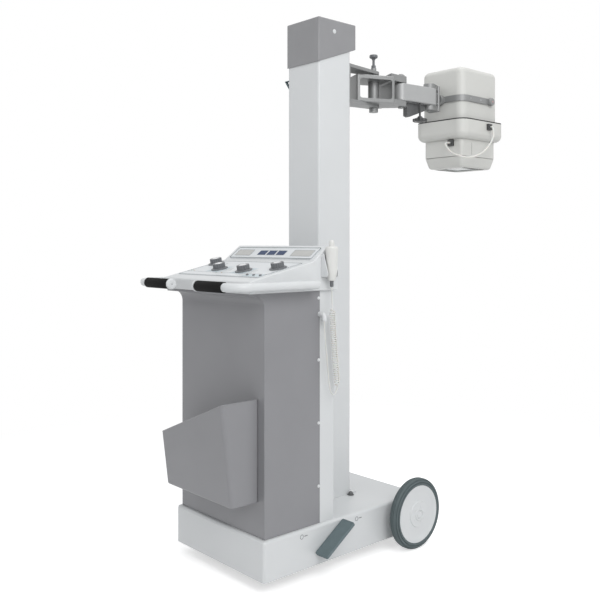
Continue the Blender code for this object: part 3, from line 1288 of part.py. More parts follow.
def arm_link_1():
    """Cast box frame with a window in each side, a hub round the shoulder pin, and two elbow lugs."""
    place = SHOULDER
    joint("shoulder_swivel", place, "carriage_lift")
    half = ARM_1_WIDTH / 2
    tail, nose, height = -ARM_1_TAIL, ARM_1_NOSE, ARM_1_HEIGHT
    outline = rectangle(-half, tail, half, nose, 0.010)
    frame = prism("arm_link_1", [outline], 0, height, "XY", "arm_metal")
    bevel(frame, 0.003, 1)
    settle(frame)
    lugs = []
    lug_half = ELBOW_LUG_WIDTH / 2
    upper = ARM_2_RISE + ARM_2_HEIGHT + ELBOW_LUG_GAP
    for low, high in ((0, ARM_2_RISE - SEAT), (upper, ELBOW_LUG_TOP)):
        edge = [(-half + 0.012, nose - 0.012), (half - 0.012, nose - 0.012)]
        lugs.append(prism("elbow_lug", [edge + arc((0, ARM_1_LENGTH), lug_half, 0, 180, 10)], low, high))
    join(frame, *lugs)
    side_window = rectangle(tail + ARM_1_POST, ARM_1_RAIL, nose - ARM_1_POST, height - ARM_1_RAIL, 0.008)
    through = prism("side_window", [side_window], -half - 0.010, half + 0.010, "YZ", group=CUTTERS)
    cut(frame, through)
    hub = rod("hub", (0, 0, 0.004), height - 0.008, HUB_RADIUS, sides=28)
    join(frame, hub)
    bore = rod("shoulder_bore", (0, 0, -0.010), height + 0.020, PIVOT_RADIUS + RUN, sides=24, group=CUTTERS)
    cut(frame, bore)
    pin_low = -0.006
    pin = rod("elbow_pin", (0, ARM_1_LENGTH, pin_low), ELBOW_LUG_TOP - 0.002 - pin_low, PIVOT_RADIUS, sides=24)
    crown = ELBOW_LUG_TOP + 0.012
    head = turned("pin_head", [(0, crown), (0.008, crown - 0.001), (0.015, crown - 0.006),
                               (0.016, ELBOW_LUG_TOP - 0.004), (0, ELBOW_LUG_TOP - 0.004)], "Z", 20)
    head.data.transform(Matrix.Translation((0, ARM_1_LENGTH, 0)))
    join(frame, pin, head)
    turn_mesh(frame, -ARM_1_HEADING)
    hang(smooth(frame), "shoulder_swivel", place)


def arm_link_2():
    """Box link between elbow and wrist, with a keel below it for the clamp screw's housing."""
    joint("elbow_swivel", ELBOW, "shoulder_swivel")
    low = ARM_2_BOTTOM_Z - ARM_1_BOTTOM_Z
    half = ARM_2_WIDTH / 2
    end = ARM_2_END_RADIUS
    outline = arc((0, ARM_2_LENGTH), end, 0, 180, 10) + arc((0, 0), end, 180, 360, 10)
    body = prism("arm_link_2", [outline], low, low + ARM_2_HEIGHT, "XY", "arm_metal")
    bevel(body, 0.003, 1)
    settle(body)
    keel_outline = [(KEEL_START, low + 0.004), (KEEL_START, low + 0.004 - KEEL_DEPTH_INNER),
                    (KEEL_START + 0.014, low - KEEL_DEPTH_INNER), (KEEL_END, low - KEEL_DEPTH_OUTER),
                    (KEEL_END, low + 0.004)]
    keel = prism("keel", [keel_outline], -KEEL_WIDTH / 2 - 0.006, KEEL_WIDTH / 2 - 0.006, "YZ")
    join(body, keel)
    holes = []
    for along in (0, ARM_2_LENGTH):
        holes.append(rod("pivot_bore", (0, along, low - 0.010), ARM_2_HEIGHT + 0.020, PIVOT_RADIUS + RUN,
                         sides=24, group=CUTTERS))
    holes.append(rod("clamp_hole", (WHEEL_KNOB_ACROSS, WHEEL_KNOB_ALONG, low - 0.010), 0.030,
                     STEM_RADIUS + RUN, sides=16, group=CUTTERS))
    cut(body, *holes)
    turn_mesh(body, -ARM_2_HEADING)
    hang(smooth(body), "elbow_swivel", ELBOW)
    across = Vector((math.cos(ARM_2_HEADING), -math.sin(ARM_2_HEADING), 0))
    place = ELBOW + ARM_2_ALONG * WHEEL_KNOB_ALONG + across * WHEEL_KNOB_ACROSS
    place.z = WHEEL_KNOB_Z
    joint("elbow_clamp", place, "elbow_swivel")
    rise = ARM_2_BOTTOM_Z + 0.014 - WHEEL_KNOB_Z
    height = WHEEL_KNOB_HEIGHT
    lobes = 8
    points = lobes * 4
    outline = []
    for i in range(points):
        angle = math.tau * i / points
        reach = WHEEL_KNOB_RADIUS * (0.93 + 0.07 * math.cos(lobes * angle))
        outline.append((reach * math.cos(angle), reach * math.sin(angle)))
    wheel = prism("elbow_handwheel", [outline], 0, height * 0.6, "XY", "dark_metal")
    bevel(wheel, 0.002, 1)
    settle(wheel)
    profile = [(0, rise), (STEM_RADIUS, rise), (STEM_RADIUS, height + 0.002), (0.009, height),
               (WHEEL_KNOB_RADIUS * 0.6, height * 0.6), (WHEEL_KNOB_RADIUS * 0.6, 0.002), (0, 0.002)]
    join(wheel, turned("stem", profile, "Z", 20))
    hang(smooth(wheel), "elbow_clamp", place)


def head_bracket():
    """Clevis round the wrist end of the arm, with its pin and the back plate that the head rolls on."""
    joint("wrist_swivel", WRIST, "elbow_swivel")
    low = ARM_2_BOTTOM_Z - SEAT
    high = ARM_2_TOP_Z + SEAT
    half = WRIST_LUG_WIDTH / 2
    plate_left = WRIST.x - BACK_PLATE_LEFT
    plate_right = plate_left + BACK_PLATE_WIDTH
    plate = box("head_bracket", (plate_left, BACK_PLATE_Y, low - WRIST_LUG),
                (plate_right, BACK_PLATE_Y + BACK_PLATE, high + WRIST_LUG), "arm_metal")
    bevel(plate, 0.003, 1)
    settle(plate)
    pieces = []
    for bottom in (low - WRIST_LUG, high):
        outline = [(plate_right - 0.004, BACK_PLATE_Y + 0.004), (plate_left + 0.004, BACK_PLATE_Y + 0.004)]
        outline += arc((WRIST.x, WRIST.y), half, 180, 360, 10)
        pieces.append(prism("wrist_lug", [outline], bottom, bottom + WRIST_LUG))
    pieces.append(rod("wrist_pin", (WRIST.x, WRIST.y, low - WRIST_LUG - 0.003),
                      high - low + WRIST_LUG * 2 + 0.006, PIVOT_RADIUS, sides=24))
    join(plate, *pieces)
    journal = rod("journal_hole", (HEAD_X, BACK_PLATE_Y - 0.010, ROLL_Z), BACK_PLATE + 0.020,
                  ROLL_JOURNAL_RADIUS + RUN, "Y", 24, group=CUTTERS)
    cut(plate, journal)
    hang(smooth(plate), "wrist_swivel")
    shift_to_axis(plate, WRIST)


def head_band():
    """Clamp band round three sides of the head. Its journal turns in the bracket's back plate."""
    place = Vector((HEAD_X, BACK_PLATE_Y + BACK_PLATE, ROLL_Z))
    joint("head_roll", place, "wrist_swivel")
    half = HEAD_WIDTH / 2 + SEAT
    thick = BAND_THICKNESS
    front = HEAD_FRONT_Y - SEAT
    rear = BAND_KNOB_Y + 0.012
    radius = HEAD_CORNER + SEAT
    outline = rounded([(-half - thick, rear, 0.002), (-half - thick, front - thick, radius + thick),
                       (half + thick, front - thick, radius + thick), (half + thick, rear, 0.002),
                       (half, rear, 0), (half, front, radius), (-half, front, radius), (-half, rear, 0)], 5)
    outline = [(HEAD_X + x, y) for x, y in outline]
    band = prism("head_band", [outline], ROLL_Z - BAND_HEIGHT / 2, ROLL_Z + BAND_HEIGHT / 2, "XY", "arm_metal")
    boss_start = BACK_PLATE_Y + BACK_PLATE + SEAT
    boss = rod("boss", (HEAD_X, boss_start, ROLL_Z), front - 0.002 - boss_start, 0.022, "Y", 28)
    journal = rod("journal", (HEAD_X, BACK_PLATE_Y + 0.001, ROLL_Z), 0.020, ROLL_JOURNAL_RADIUS, "Y", 24)
    join(band, boss, journal)
    for side in (-1, 1):
        start = HEAD_X + (half - 0.010 if side > 0 else -half - thick - 0.010)
        hole = rod("screw_hole", (start, BAND_KNOB_Y, ROLL_Z), thick + 0.020, STEM_RADIUS + RUN, "X", 16, group=CUTTERS)
        cut(band, hole)
    hang(smooth(band), "head_roll")
    shift_to_axis(band, place)
    knob_place = Vector((HEAD_X + half + thick, BAND_KNOB_Y, ROLL_Z))
    joint("band_knob_turn", knob_place, "head_roll")
    grip = BAND_KNOB_RADIUS
    profile = [(0, 0.013), (grip - 0.0035, 0.013), (grip - 0.001, 0.011), (grip, 0.004), (grip, SEAT),
               (STEM_RADIUS, SEAT), (STEM_RADIUS, -thick), (0, -thick)]
    hang(turned("band_knob", profile, "X", 20, False, "arm_metal"), "band_knob_turn", knob_place)


def plan_outline(width, length, corner, steps=5):
    """A rounded rectangle about the head's middle."""
    x, y = HEAD_MIDDLE.x, HEAD_MIDDLE.y
    return rectangle(x - width / 2, y - length / 2, x + width / 2, y + length / 2, corner, steps)


def tube_head():
    """Tube housing with rounded shoulders, gasket, and the wider tray below it."""
    housing = prism("head_housing", [plan_outline(HEAD_WIDTH, HEAD_LENGTH, HEAD_CORNER)],
                    HEAD_BOTTOM, HEAD_TOP, "XY", "head_paint")
    crown = round_edges(housing, HEAD_CROWN, 5, lambda point: abs(point.z - HEAD_TOP) < 0.0001)
    tap = rod("band_screw_hole", (HEAD_X + HEAD_WIDTH / 2 - 0.006, BAND_KNOB_Y, ROLL_Z), 0.020,
              STEM_RADIUS + RUN, "X", 16, group=CUTTERS)
    cut(crown, tap)
    hang(smooth(crown), "head_roll")
    wide = HEAD_WIDTH + TRAY_FLANGE * 2
    long = HEAD_LENGTH + TRAY_FLANGE * 2
    gasket_low = HEAD_BOTTOM - SEAT - GASKET
    gasket = prism("head_gasket", [plan_outline(wide - 0.001, long - 0.001, TRAY_CORNER)],
                   gasket_low, gasket_low + GASKET, "XY", "black_foam")
    hang(gasket, "head_roll")
    tray = prism("head_tray", [plan_outline(wide, long, TRAY_CORNER)], TRAY_BOTTOM, TRAY_TOP, "XY", "head_paint")
    round_edges(tray, TRAY_KEEL, 4, lambda point: abs(point.z - TRAY_BOTTOM) < 0.0001)
    side_x = HEAD_X + wide / 2
    y, z = TRAY_SOCKET
    reach = SOCKET_SIZE / 2
    socket = box("tray_socket", (side_x - 0.006, y - reach, z - reach), (side_x + SOCKET_DEPTH, y + reach, z + reach))
    bevel(socket, 0.002, 1)
    join(tray, settle(socket))
    hang(smooth(tray), "head_roll")


def collimator():
    """Collimator housing in two halves with a tapered foot, its window, and two field knobs."""
    x, y = HEAD_MIDDLE.x, HEAD_MIDDLE.y
    bottom = COLLIMATOR_TOP - COLLIMATOR_HEIGHT
    seam = bottom + COLLIMATOR_SEAM
    plan = plan_outline(COLLIMATOR_WIDTH, COLLIMATOR_LENGTH, COLLIMATOR_CORNER, 3)
    housing = prism("collimator_housing", [plan], seam + COLLIMATOR_GROOVE, COLLIMATOR_TOP, "XY", "head_paint")
    lower = prism("lower_half", [plan], bottom, seam, "XY")
    taper = COLLIMATOR_TAPER
    for vert in lower.data.vertices:
        if vert.co.z < bottom + 0.001:
            vert.co.x -= math.copysign(taper, vert.co.x - x)
            vert.co.y -= math.copysign(taper, vert.co.y - y)
    round_edges(lower, 0.010, 2, lambda point: abs(point.z - bottom) < 0.0001)
    core = prism("core", [plan_outline(COLLIMATOR_WIDTH - 0.006, COLLIMATOR_LENGTH - 0.006, COLLIMATOR_CORNER, 2)],
                 seam - 0.002, seam + COLLIMATOR_GROOVE + 0.002, "XY")
    join(housing, core, lower)
    wide, long = WINDOW_SIZE
    cut(housing, box("window_recess", (x - wide / 2, y - long / 2, bottom - 0.010),
                     (x + wide / 2, y + long / 2, bottom + WINDOW_DEPTH), group=CUTTERS))
    near = y - COLLIMATOR_LENGTH / 2
    socket_x, socket_z = COLLIMATOR_SOCKET
    reach = SOCKET_SIZE / 2
    socket = box("collimator_socket", (socket_x - reach, near - SOCKET_DEPTH, socket_z - reach),
                 (socket_x + reach, near + 0.006, socket_z + reach))
    bevel(socket, 0.002, 1)
    join(housing, settle(socket))
    far = y + COLLIMATOR_LENGTH / 2
    knob_z = COLLIMATOR_TOP - 0.030
    for sign in (-1, 1):
        hole = rod("knob_hole", (x + sign * FIELD_KNOB_SPACING / 2, far - 0.016, knob_z), 0.030,
                   KNOB_SHAFT_RADIUS + RUN, "Y", 16, group=CUTTERS)
        cut(housing, hole)
    hang(smooth(housing), "head_roll")
    pane_top = bottom + WINDOW_DEPTH - SEAT
    window = box("collimator_window", (x - wide / 2 + SEAT, y - long / 2 + SEAT, pane_top - WINDOW_PLATE),
                 (x + wide / 2 - SEAT, y + long / 2 - SEAT, pane_top), "glass")
    hang(window, "head_roll")
    for number, sign in ((1, -1), (2, 1)):
        place = Vector((x + sign * FIELD_KNOB_SPACING / 2, far + SEAT, knob_z))
        joint("field_knob_turn_%d" % number, place, "head_roll")
        height = FIELD_KNOB_HEIGHT
        profile = [(0, height), (FIELD_KNOB_RADIUS - 0.002, height), (FIELD_KNOB_RADIUS, height - 0.002),
                   (FIELD_KNOB_RADIUS + 0.001, 0), (KNOB_SHAFT_RADIUS, 0), (KNOB_SHAFT_RADIUS, -0.014), (0, -0.014)]
        knob = turned("field_knob_%d" % number, profile, "Y", 20, False, "knob_grey")
        hang(knob, "field_knob_turn_%d" % number, place)


def main():
    joint("machine", MACHINE_ORIGIN)
    JOINTS["machine"] = (JOINTS["machine"][0], Vector((0, 0, 0)))
    base_shell()
    cross_beam()
    rear_axle()
    rear_wheels()
    casters()
    brake_pedal()
    cabinet_covers()
    power_unit()
    cassette_bin()
    console()
    handles()
    handset()
    handset_holder()
    column()
    cable_hook()
    column_cap()
    column_bracket()
    balance()
    carriage()
    arm_link_1()
    arm_link_2()
    head_bracket()
    head_band()
    tube_head()
    collimator()
    cords()


main()
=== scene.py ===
"""Looks of the mobile x-ray machine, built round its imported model."""

import json
import math

import bmesh
import bpy
from mathutils import Matrix, Vector

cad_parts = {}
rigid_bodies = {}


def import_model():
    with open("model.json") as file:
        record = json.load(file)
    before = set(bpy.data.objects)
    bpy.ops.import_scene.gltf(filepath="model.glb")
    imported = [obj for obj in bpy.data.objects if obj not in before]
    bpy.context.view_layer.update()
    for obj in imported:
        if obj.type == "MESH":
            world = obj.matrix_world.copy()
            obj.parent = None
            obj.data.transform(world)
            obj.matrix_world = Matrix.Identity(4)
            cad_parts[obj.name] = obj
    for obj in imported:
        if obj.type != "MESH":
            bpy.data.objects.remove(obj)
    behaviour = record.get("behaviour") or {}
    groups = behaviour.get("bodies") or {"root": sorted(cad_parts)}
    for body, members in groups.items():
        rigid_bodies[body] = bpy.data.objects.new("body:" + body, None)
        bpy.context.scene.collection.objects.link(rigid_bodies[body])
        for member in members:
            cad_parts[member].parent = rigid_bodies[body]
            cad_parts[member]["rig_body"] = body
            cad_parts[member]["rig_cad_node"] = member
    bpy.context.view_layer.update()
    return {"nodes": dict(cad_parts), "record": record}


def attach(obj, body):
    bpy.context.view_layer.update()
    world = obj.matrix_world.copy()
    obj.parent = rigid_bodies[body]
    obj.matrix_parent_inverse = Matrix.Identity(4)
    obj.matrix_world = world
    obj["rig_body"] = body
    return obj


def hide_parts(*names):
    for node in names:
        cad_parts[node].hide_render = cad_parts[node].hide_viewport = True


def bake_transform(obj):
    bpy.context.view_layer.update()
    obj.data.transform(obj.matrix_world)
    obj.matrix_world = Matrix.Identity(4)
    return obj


bl_info = {
    "name": "Mobile X-ray Machine",
    "version": (1, 0, 0),
    "blender": (4, 5, 0),
    "location": "3D View > Sidebar > X-ray",
    "description": "Dresses a wheeled x-ray machine with its materials and fine detail",
    "category": "Object",
}

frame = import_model()

# Pieces are modelled in the machine's own frame: x from the middle plane, y from the base's front face,
# z from the floor. The last step of each piece moves it by this much along Y into the row's frame.
ROW_SHIFT = 0.62375

# Sizes and places of the main pieces, in metres
BASE_SIDE = 0.2435
BASE_TOP = 0.169
PEDAL_Y = 0.283
PEDAL_Z = 0.117
PEDAL_TILT = math.radians(33)
WHEEL_X = 0.296
WHEEL_Y = 0.660
WHEEL_Z = 0.125
WHEEL_HALF = 0.019
CABINET_SIDE = 0.2305
BIN_LEFT = -0.1695
BIN_RIGHT = 0.1975
BIN_CORNER = 0.012
BIN_LOW_RIM = 0.457
BIN_HIGH_RIM = 0.604
SLOPE_FRONT = Vector((0, -0.056, 0.978))
SLOPE_BEND = Vector((0, 0.208, 1.036))
SLOPE_CREST = Vector((0, 0.277, 1.088))
FILM_HALF = 0.2235
HANDLE_X = 0.280
HANDLE_Z = 0.963
HANDLE_FRONT = -0.133
HANDLE_REAR = 0.194
HANDSET_PLACE = (0.268, 0.269, 0)
COLUMN_SIDE = 0.0835
SHOULDER_PLACE = (0, 0.761, 0)
ELBOW_PIVOT = (0.0468877, 0.8714606)
ELBOW_ANGLE = -math.radians(4.5)
ELBOW_KNOB_PLACE = Vector((0.074649, 0.956545, 1.590))
HEAD_X = 0.054
HEAD_Y = 1.2495
HOUSING_SIZE = (0.218, 0.256)
SEAL_SIZE = (0.2592, 0.2972)
TRAY_SIZE = (0.260, 0.298)
TRAY_BOTTOM = 1.5324
TRAY_TOP = 1.6104
COLLIMATOR_SIZE = (0.198, 0.236)
COLLIMATOR_TOP = 1.5321
BAND_Z = 1.700
BAND_REACH = 0.1162
BAND_KNOB_Y = 1.308
DIAL_Z = 1.5021
DIAL_SPREAD = 0.045

# Places of the knobs and buttons on the control film, across and up its slope
KNOBS = ((-0.195, 0.198), (-0.085, 0.130), (0.065, 0.119), (0.190, 0.163))
BUTTONS = ((0.145, 0.070), (0.178, 0.070), (0.211, 0.070))


# Working tools


def linear(code):
    """sRGB hex to linear red, green, blue and alpha."""
    parts = [int(code[i:i + 2], 16) / 255 for i in (1, 3, 5)]
    return [c / 12.92 if c <= 0.04045 else ((c + 0.055) / 1.055) ** 2.4 for c in parts] + [1.0]


def add_node(tree, kind, settings=None, inputs=None):
    """Adds a node. An input is a value, or another node's output to link."""
    made = tree.nodes.new(kind)
    for key, value in (settings or {}).items():
        setattr(made, key, value)
    for key, value in (inputs or {}).items():
        if isinstance(value, bpy.types.NodeSocket):
            tree.links.new(value, made.inputs[key])
        else:
            made.inputs[key].default_value = value
    return made


def activate(*pieces):
    """Makes only these pieces selected, and the first one active."""
    if bpy.context.object and bpy.context.object.mode != "OBJECT":
        bpy.ops.object.mode_set(mode="OBJECT")
    bpy.ops.object.select_all(action="DESELECT")
    for piece in pieces:
        piece.select_set(True)
    if pieces:
        bpy.context.view_layer.objects.active = pieces[0]


def leave_edit():
    """Back to object mode, so that the edits are in the mesh."""
    bpy.ops.object.mode_set(mode="OBJECT")


def cube(name, low, high):
    """A box between two corners."""
    activate()
    low, high = Vector(low), Vector(high)
    bpy.ops.mesh.primitive_cube_add(size=1, location=(low + high) / 2)
    piece = bpy.context.object
    piece.name = name
    piece.scale = high - low
    bpy.ops.object.transform_apply(location=True, rotation=True, scale=True)
    return piece


TURNS = {"X": (0, math.radians(90), 0), "Y": (math.radians(-90), 0, 0), "Z": (0, 0, 0)}


def cylinder(name, start, length, radius, axis="Z", sides=48):
    """A round bar from a point along an axis."""
    activate()
    bpy.ops.mesh.primitive_cone_add(vertices=sides, radius1=radius, radius2=radius, depth=length,
                                    location=(0, 0, length / 2))
    piece = bpy.context.object
    piece.name = name
    bpy.ops.object.transform_apply(location=True, rotation=True, scale=True)
    piece.rotation_euler = TURNS[axis]
    piece.location = start
    bpy.ops.object.transform_apply(location=True, rotation=True, scale=True)
    return piece


def line_mesh(name, points, closed=False):
    """A bare line of edges, ready to spin or extrude."""
    mesh = bpy.data.meshes.new(name)
    edges = [(i, i + 1) for i in range(len(points) - 1)]
    if closed:
        edges.append((len(points) - 1, 0))
    mesh.from_pydata(points, edges, [])
    piece = bpy.data.objects.new(name, mesh)
    bpy.context.scene.collection.objects.link(piece)
    activate(piece)
    return piece


def spun(name, profile, place=(0, 0, 0), axis="Z", steps=64, ring=False):
    """A profile of (radius, height) spun about an axis through a place."""
    piece = line_mesh(name, [(r, 0, h) for r, h in profile], ring)
    bpy.ops.object.mode_set(mode="EDIT")
    bpy.ops.mesh.select_all(action="SELECT")
    bpy.ops.mesh.spin(steps=steps, angle=math.tau, center=(0, 0, 0), axis=(0, 0, 1))
    bpy.ops.mesh.select_all(action="SELECT")
    bpy.ops.mesh.remove_doubles(threshold=0.00002)
    bpy.ops.mesh.normals_make_consistent(inside=False)
    leave_edit()
    piece.rotation_euler = TURNS[axis]
    piece.location = place
    bpy.ops.object.transform_apply(location=True, rotation=True, scale=True)
    return smooth(piece)


def slab(name, outline, low, high, plane="XY"):
    """A closed outline filled and extruded across its plane."""
    places = {"XY": lambda a, b, c: (a, b, c), "YZ": lambda a, b, c: (c, a, b),
              "XZ": lambda a, b, c: (a, c, b)}
    across = {"XY": (0, 0, 1), "YZ": (1, 0, 0), "XZ": (0, 1, 0)}[plane]
    piece = line_mesh(name, [places[plane](a, b, low) for a, b in outline], True)
    bpy.ops.object.mode_set(mode="EDIT")
    bpy.ops.mesh.select_all(action="SELECT")
    bpy.ops.mesh.edge_face_add()
    bpy.ops.mesh.extrude_region_move(TRANSFORM_OT_translate={"value": Vector(across) * (high - low)})
    bpy.ops.mesh.select_all(action="SELECT")
    bpy.ops.mesh.normals_make_consistent(inside=False)
    leave_edit()
    return piece


def piped(name, points, radius, sides):
    """A curve of one open spline through the points, with a round section."""
    curve = bpy.data.curves.new(name, "CURVE")
    curve.dimensions = "3D"
    curve.bevel_depth = radius
    curve.bevel_resolution = sides
    curve.use_fill_caps = True
    spline = curve.splines.new("POLY")
    spline.points.add(len(points) - 1)
    for point, place in zip(spline.points, points):
        point.co = (*place, 1)
    piece = bpy.data.objects.new(name, curve)
    bpy.context.scene.collection.objects.link(piece)
    return piece


def swept(name, points, radius, sides=6):
    """A round bar along a line of points."""
    activate(piped(name, points, radius, sides))
    bpy.ops.object.convert(target="MESH")
    piece = bpy.context.object
    bpy.ops.object.mode_set(mode="EDIT")
    bpy.ops.mesh.select_all(action="SELECT")
    bpy.ops.mesh.remove_doubles(threshold=0.00001)
    bpy.ops.mesh.normals_make_consistent(inside=False)
    leave_edit()
    return smooth(piece, 50)


def smooth(piece, angle=35):
    """Smooth shading with edges sharper than an angle kept."""
    activate(piece)
    bpy.ops.object.shade_smooth_by_angle(angle=math.radians(angle))
    return piece


def apply_step(piece, kind, **settings):
    """One modifier, set and applied."""
    activate(piece)
    step = piece.modifiers.new(kind.title(), kind)
    for key, value in settings.items():
        setattr(step, key, value)
    bpy.ops.object.modifier_apply(modifier=step.name)
    return piece


def soften(piece, width, segments=3):
    """Rounds the sharp edges and keeps the flats flat under smooth shading."""
    apply_step(piece, "BEVEL", width=width, segments=segments, limit_method="ANGLE",
               angle_limit=math.radians(40))
    return flats(piece)


def flats(piece, angle=40):
    """Smooth shading under which the large faces look flat."""
    smooth(piece, angle)
    return apply_step(piece, "WEIGHTED_NORMAL", keep_sharp=True, weight=80)


def round_some(piece, width, segments, wanted):
    """Rounds the edges that pass the test."""
    activate(piece)
    bpy.ops.object.mode_set(mode="EDIT")
    bpy.ops.mesh.select_mode(type="EDGE")
    bpy.ops.mesh.select_all(action="DESELECT")
    shape = bmesh.from_edit_mesh(piece.data)
    for edge in shape.edges:
        edge.select_set(wanted(edge))
    shape.select_flush_mode()
    bmesh.update_edit_mesh(piece.data)
    bpy.ops.mesh.bevel(offset=width, segments=segments, affect="EDGES")
    leave_edit()


def carve(piece, *tools):
    """Cuts the tools out of a piece, and removes them."""
    for tool in tools:
        apply_step(piece, "BOOLEAN", object=tool, operation="DIFFERENCE", solver="EXACT")
        bpy.data.objects.remove(tool)
    return piece


def merged(name, *pieces):
    """Several meshes as one piece."""
    activate(*pieces)
    bpy.ops.object.join()
    pieces[0].name = name
    return pieces[0]


def turned(piece, angle, axis):
    """Turns a piece's shape about an axis through the origin."""
    piece.data.transform(Matrix.Rotation(angle, 4, axis))
    return piece


def moved(piece, *shift):
    """Moves a piece's shape."""
    piece.data.transform(Matrix.Translation(Vector(shift)))
    return piece


def copy_of(piece, name, matrix):
    """A copy with a mesh of its own, set in another place."""
    copy = piece.copy()
    copy.data = piece.data.copy()
    copy.name = name
    bpy.context.scene.collection.objects.link(copy)
    copy.data.transform(matrix)
    return copy


def finished(piece, body, slot, finish, *nodes, placed=False):
    """The last step of a piece: its place, its material, and the CAD that it rides on and stands for."""
    if not placed:
        moved(piece, 0, -ROW_SHIFT, 0)
    if finish:
        piece.data.materials.clear()
        piece.data.materials.append(material(finish))
    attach(piece, body)
    if nodes:
        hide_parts(*nodes)
    return piece


def refined(node, finish, slot, width=0.0):
    """A merged, smooth-shaded copy of a CAD node whose shape is right, with its hard edges eased."""
    source = frame["nodes"][node]
    piece = source.copy()
    piece.data = source.data.copy()
    piece.name = node + "_finish"
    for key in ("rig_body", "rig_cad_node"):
        if key in piece:
            del piece[key]
    piece.parent = None
    bpy.context.scene.collection.objects.link(piece)
    activate(piece)
    bpy.ops.object.mode_set(mode="EDIT")
    bpy.ops.mesh.select_all(action="SELECT")
    bpy.ops.mesh.remove_doubles(threshold=0.00001)
    bpy.ops.mesh.dissolve_limited(angle_limit=math.radians(0.5))
    leave_edit()
    if width:
        apply_step(piece, "BEVEL", width=width, segments=2, limit_method="ANGLE",
                   angle_limit=math.radians(55))
    flats(piece)
    return finished(piece, body_of(node), slot, finish, node, placed=True)


def body_of(node):
    """The body that holds a CAD node."""
    for body, members in frame["record"]["behaviour"]["bodies"].items():
        if node in members:
            return body
    raise RuntimeError("no body holds " + node)


def arc(middle, radius, start, end, steps=8):
    """Points on an arc between two angles in degrees."""
    points = []
    for i in range(steps + 1):
        angle = math.radians(start + (end - start) * i / steps)
        points.append((middle[0] + radius * math.cos(angle), middle[1] + radius * math.sin(angle)))
    return points


def round_rect(x0, y0, x1, y1, radius, steps=6):
    """The outline of a rectangle with round corners."""
    return (arc((x1 - radius, y0 + radius), radius, -90, 0, steps)
            + arc((x1 - radius, y1 - radius), radius, 0, 90, steps)
            + arc((x0 + radius, y1 - radius), radius, 90, 180, steps)
            + arc((x0 + radius, y0 + radius), radius, 180, 270, steps))


def smooth_route(points, spacing):
    """Evenly spaced points on a smooth curve through the route, with its first and last legs straight."""
    points = [Vector(point) for point in points]
    spaced = [points[0], points[1]]
    for i in range(1, len(points) - 2):
        before, here, ahead, after = points[i - 1:i + 3]
        for k in range(1, 25):
            t = k / 24
            point = 0.5 * (2 * here + (ahead - before) * t
                           + (2 * before - 5 * here + 4 * ahead - after) * t ** 2
                           + (3 * here - before - 3 * ahead + after) * t ** 3)
            if (point - spaced[-1]).length >= spacing:
                spaced.append(point)
    if (points[-2] - spaced[-1]).length < spacing * 0.6:
        spaced.pop()
    return spaced + [points[-2], points[-1]]


def length_of(points):
    """Length along a line of points."""
    return sum((points[i + 1] - points[i]).length for i in range(len(points) - 1))


# Materials


def vary(tree, shader, low, high, size):
    """Lets the colour drift between two tones over patches of a real size in metres."""
    place = add_node(tree, "ShaderNodeTexCoord")
    noise = add_node(tree, "ShaderNodeTexNoise", None,
                     {"Vector": place.outputs["Object"], "Scale": 1 / size, "Detail": 3.0})
    blend = add_node(tree, "ShaderNodeMix", {"data_type": "RGBA"},
                     {"Factor": noise.outputs["Fac"], "A": linear(low), "B": linear(high)})
    tree.links.new(blend.outputs["Result"], shader.inputs["Base Color"])


def grain(tree, shader, size, height, kind="ShaderNodeTexNoise", strength=1.0, output="Fac"):
    """A bump of a real grain size and height in metres."""
    place = add_node(tree, "ShaderNodeTexCoord")
    pattern = add_node(tree, kind, None, {"Vector": place.outputs["Object"], "Scale": 1 / size})
    bump = add_node(tree, "ShaderNodeBump", None,
                    {"Height": pattern.outputs[output], "Distance": height, "Strength": strength})
    tree.links.new(bump.outputs["Normal"], shader.inputs["Normal"])


def patchy_gloss(tree, shader, low, high, size):
    """Roughness that wanders, as on a surface that hands have wiped."""
    place = add_node(tree, "ShaderNodeTexCoord")
    noise = add_node(tree, "ShaderNodeTexNoise", None,
                     {"Vector": place.outputs["Object"], "Scale": 1 / size, "Detail": 4.0})
    scale = add_node(tree, "ShaderNodeMapRange", None,
                     {"Value": noise.outputs["Fac"], "To Min": low, "To Max": high})
    tree.links.new(scale.outputs["Result"], shader.inputs["Roughness"])


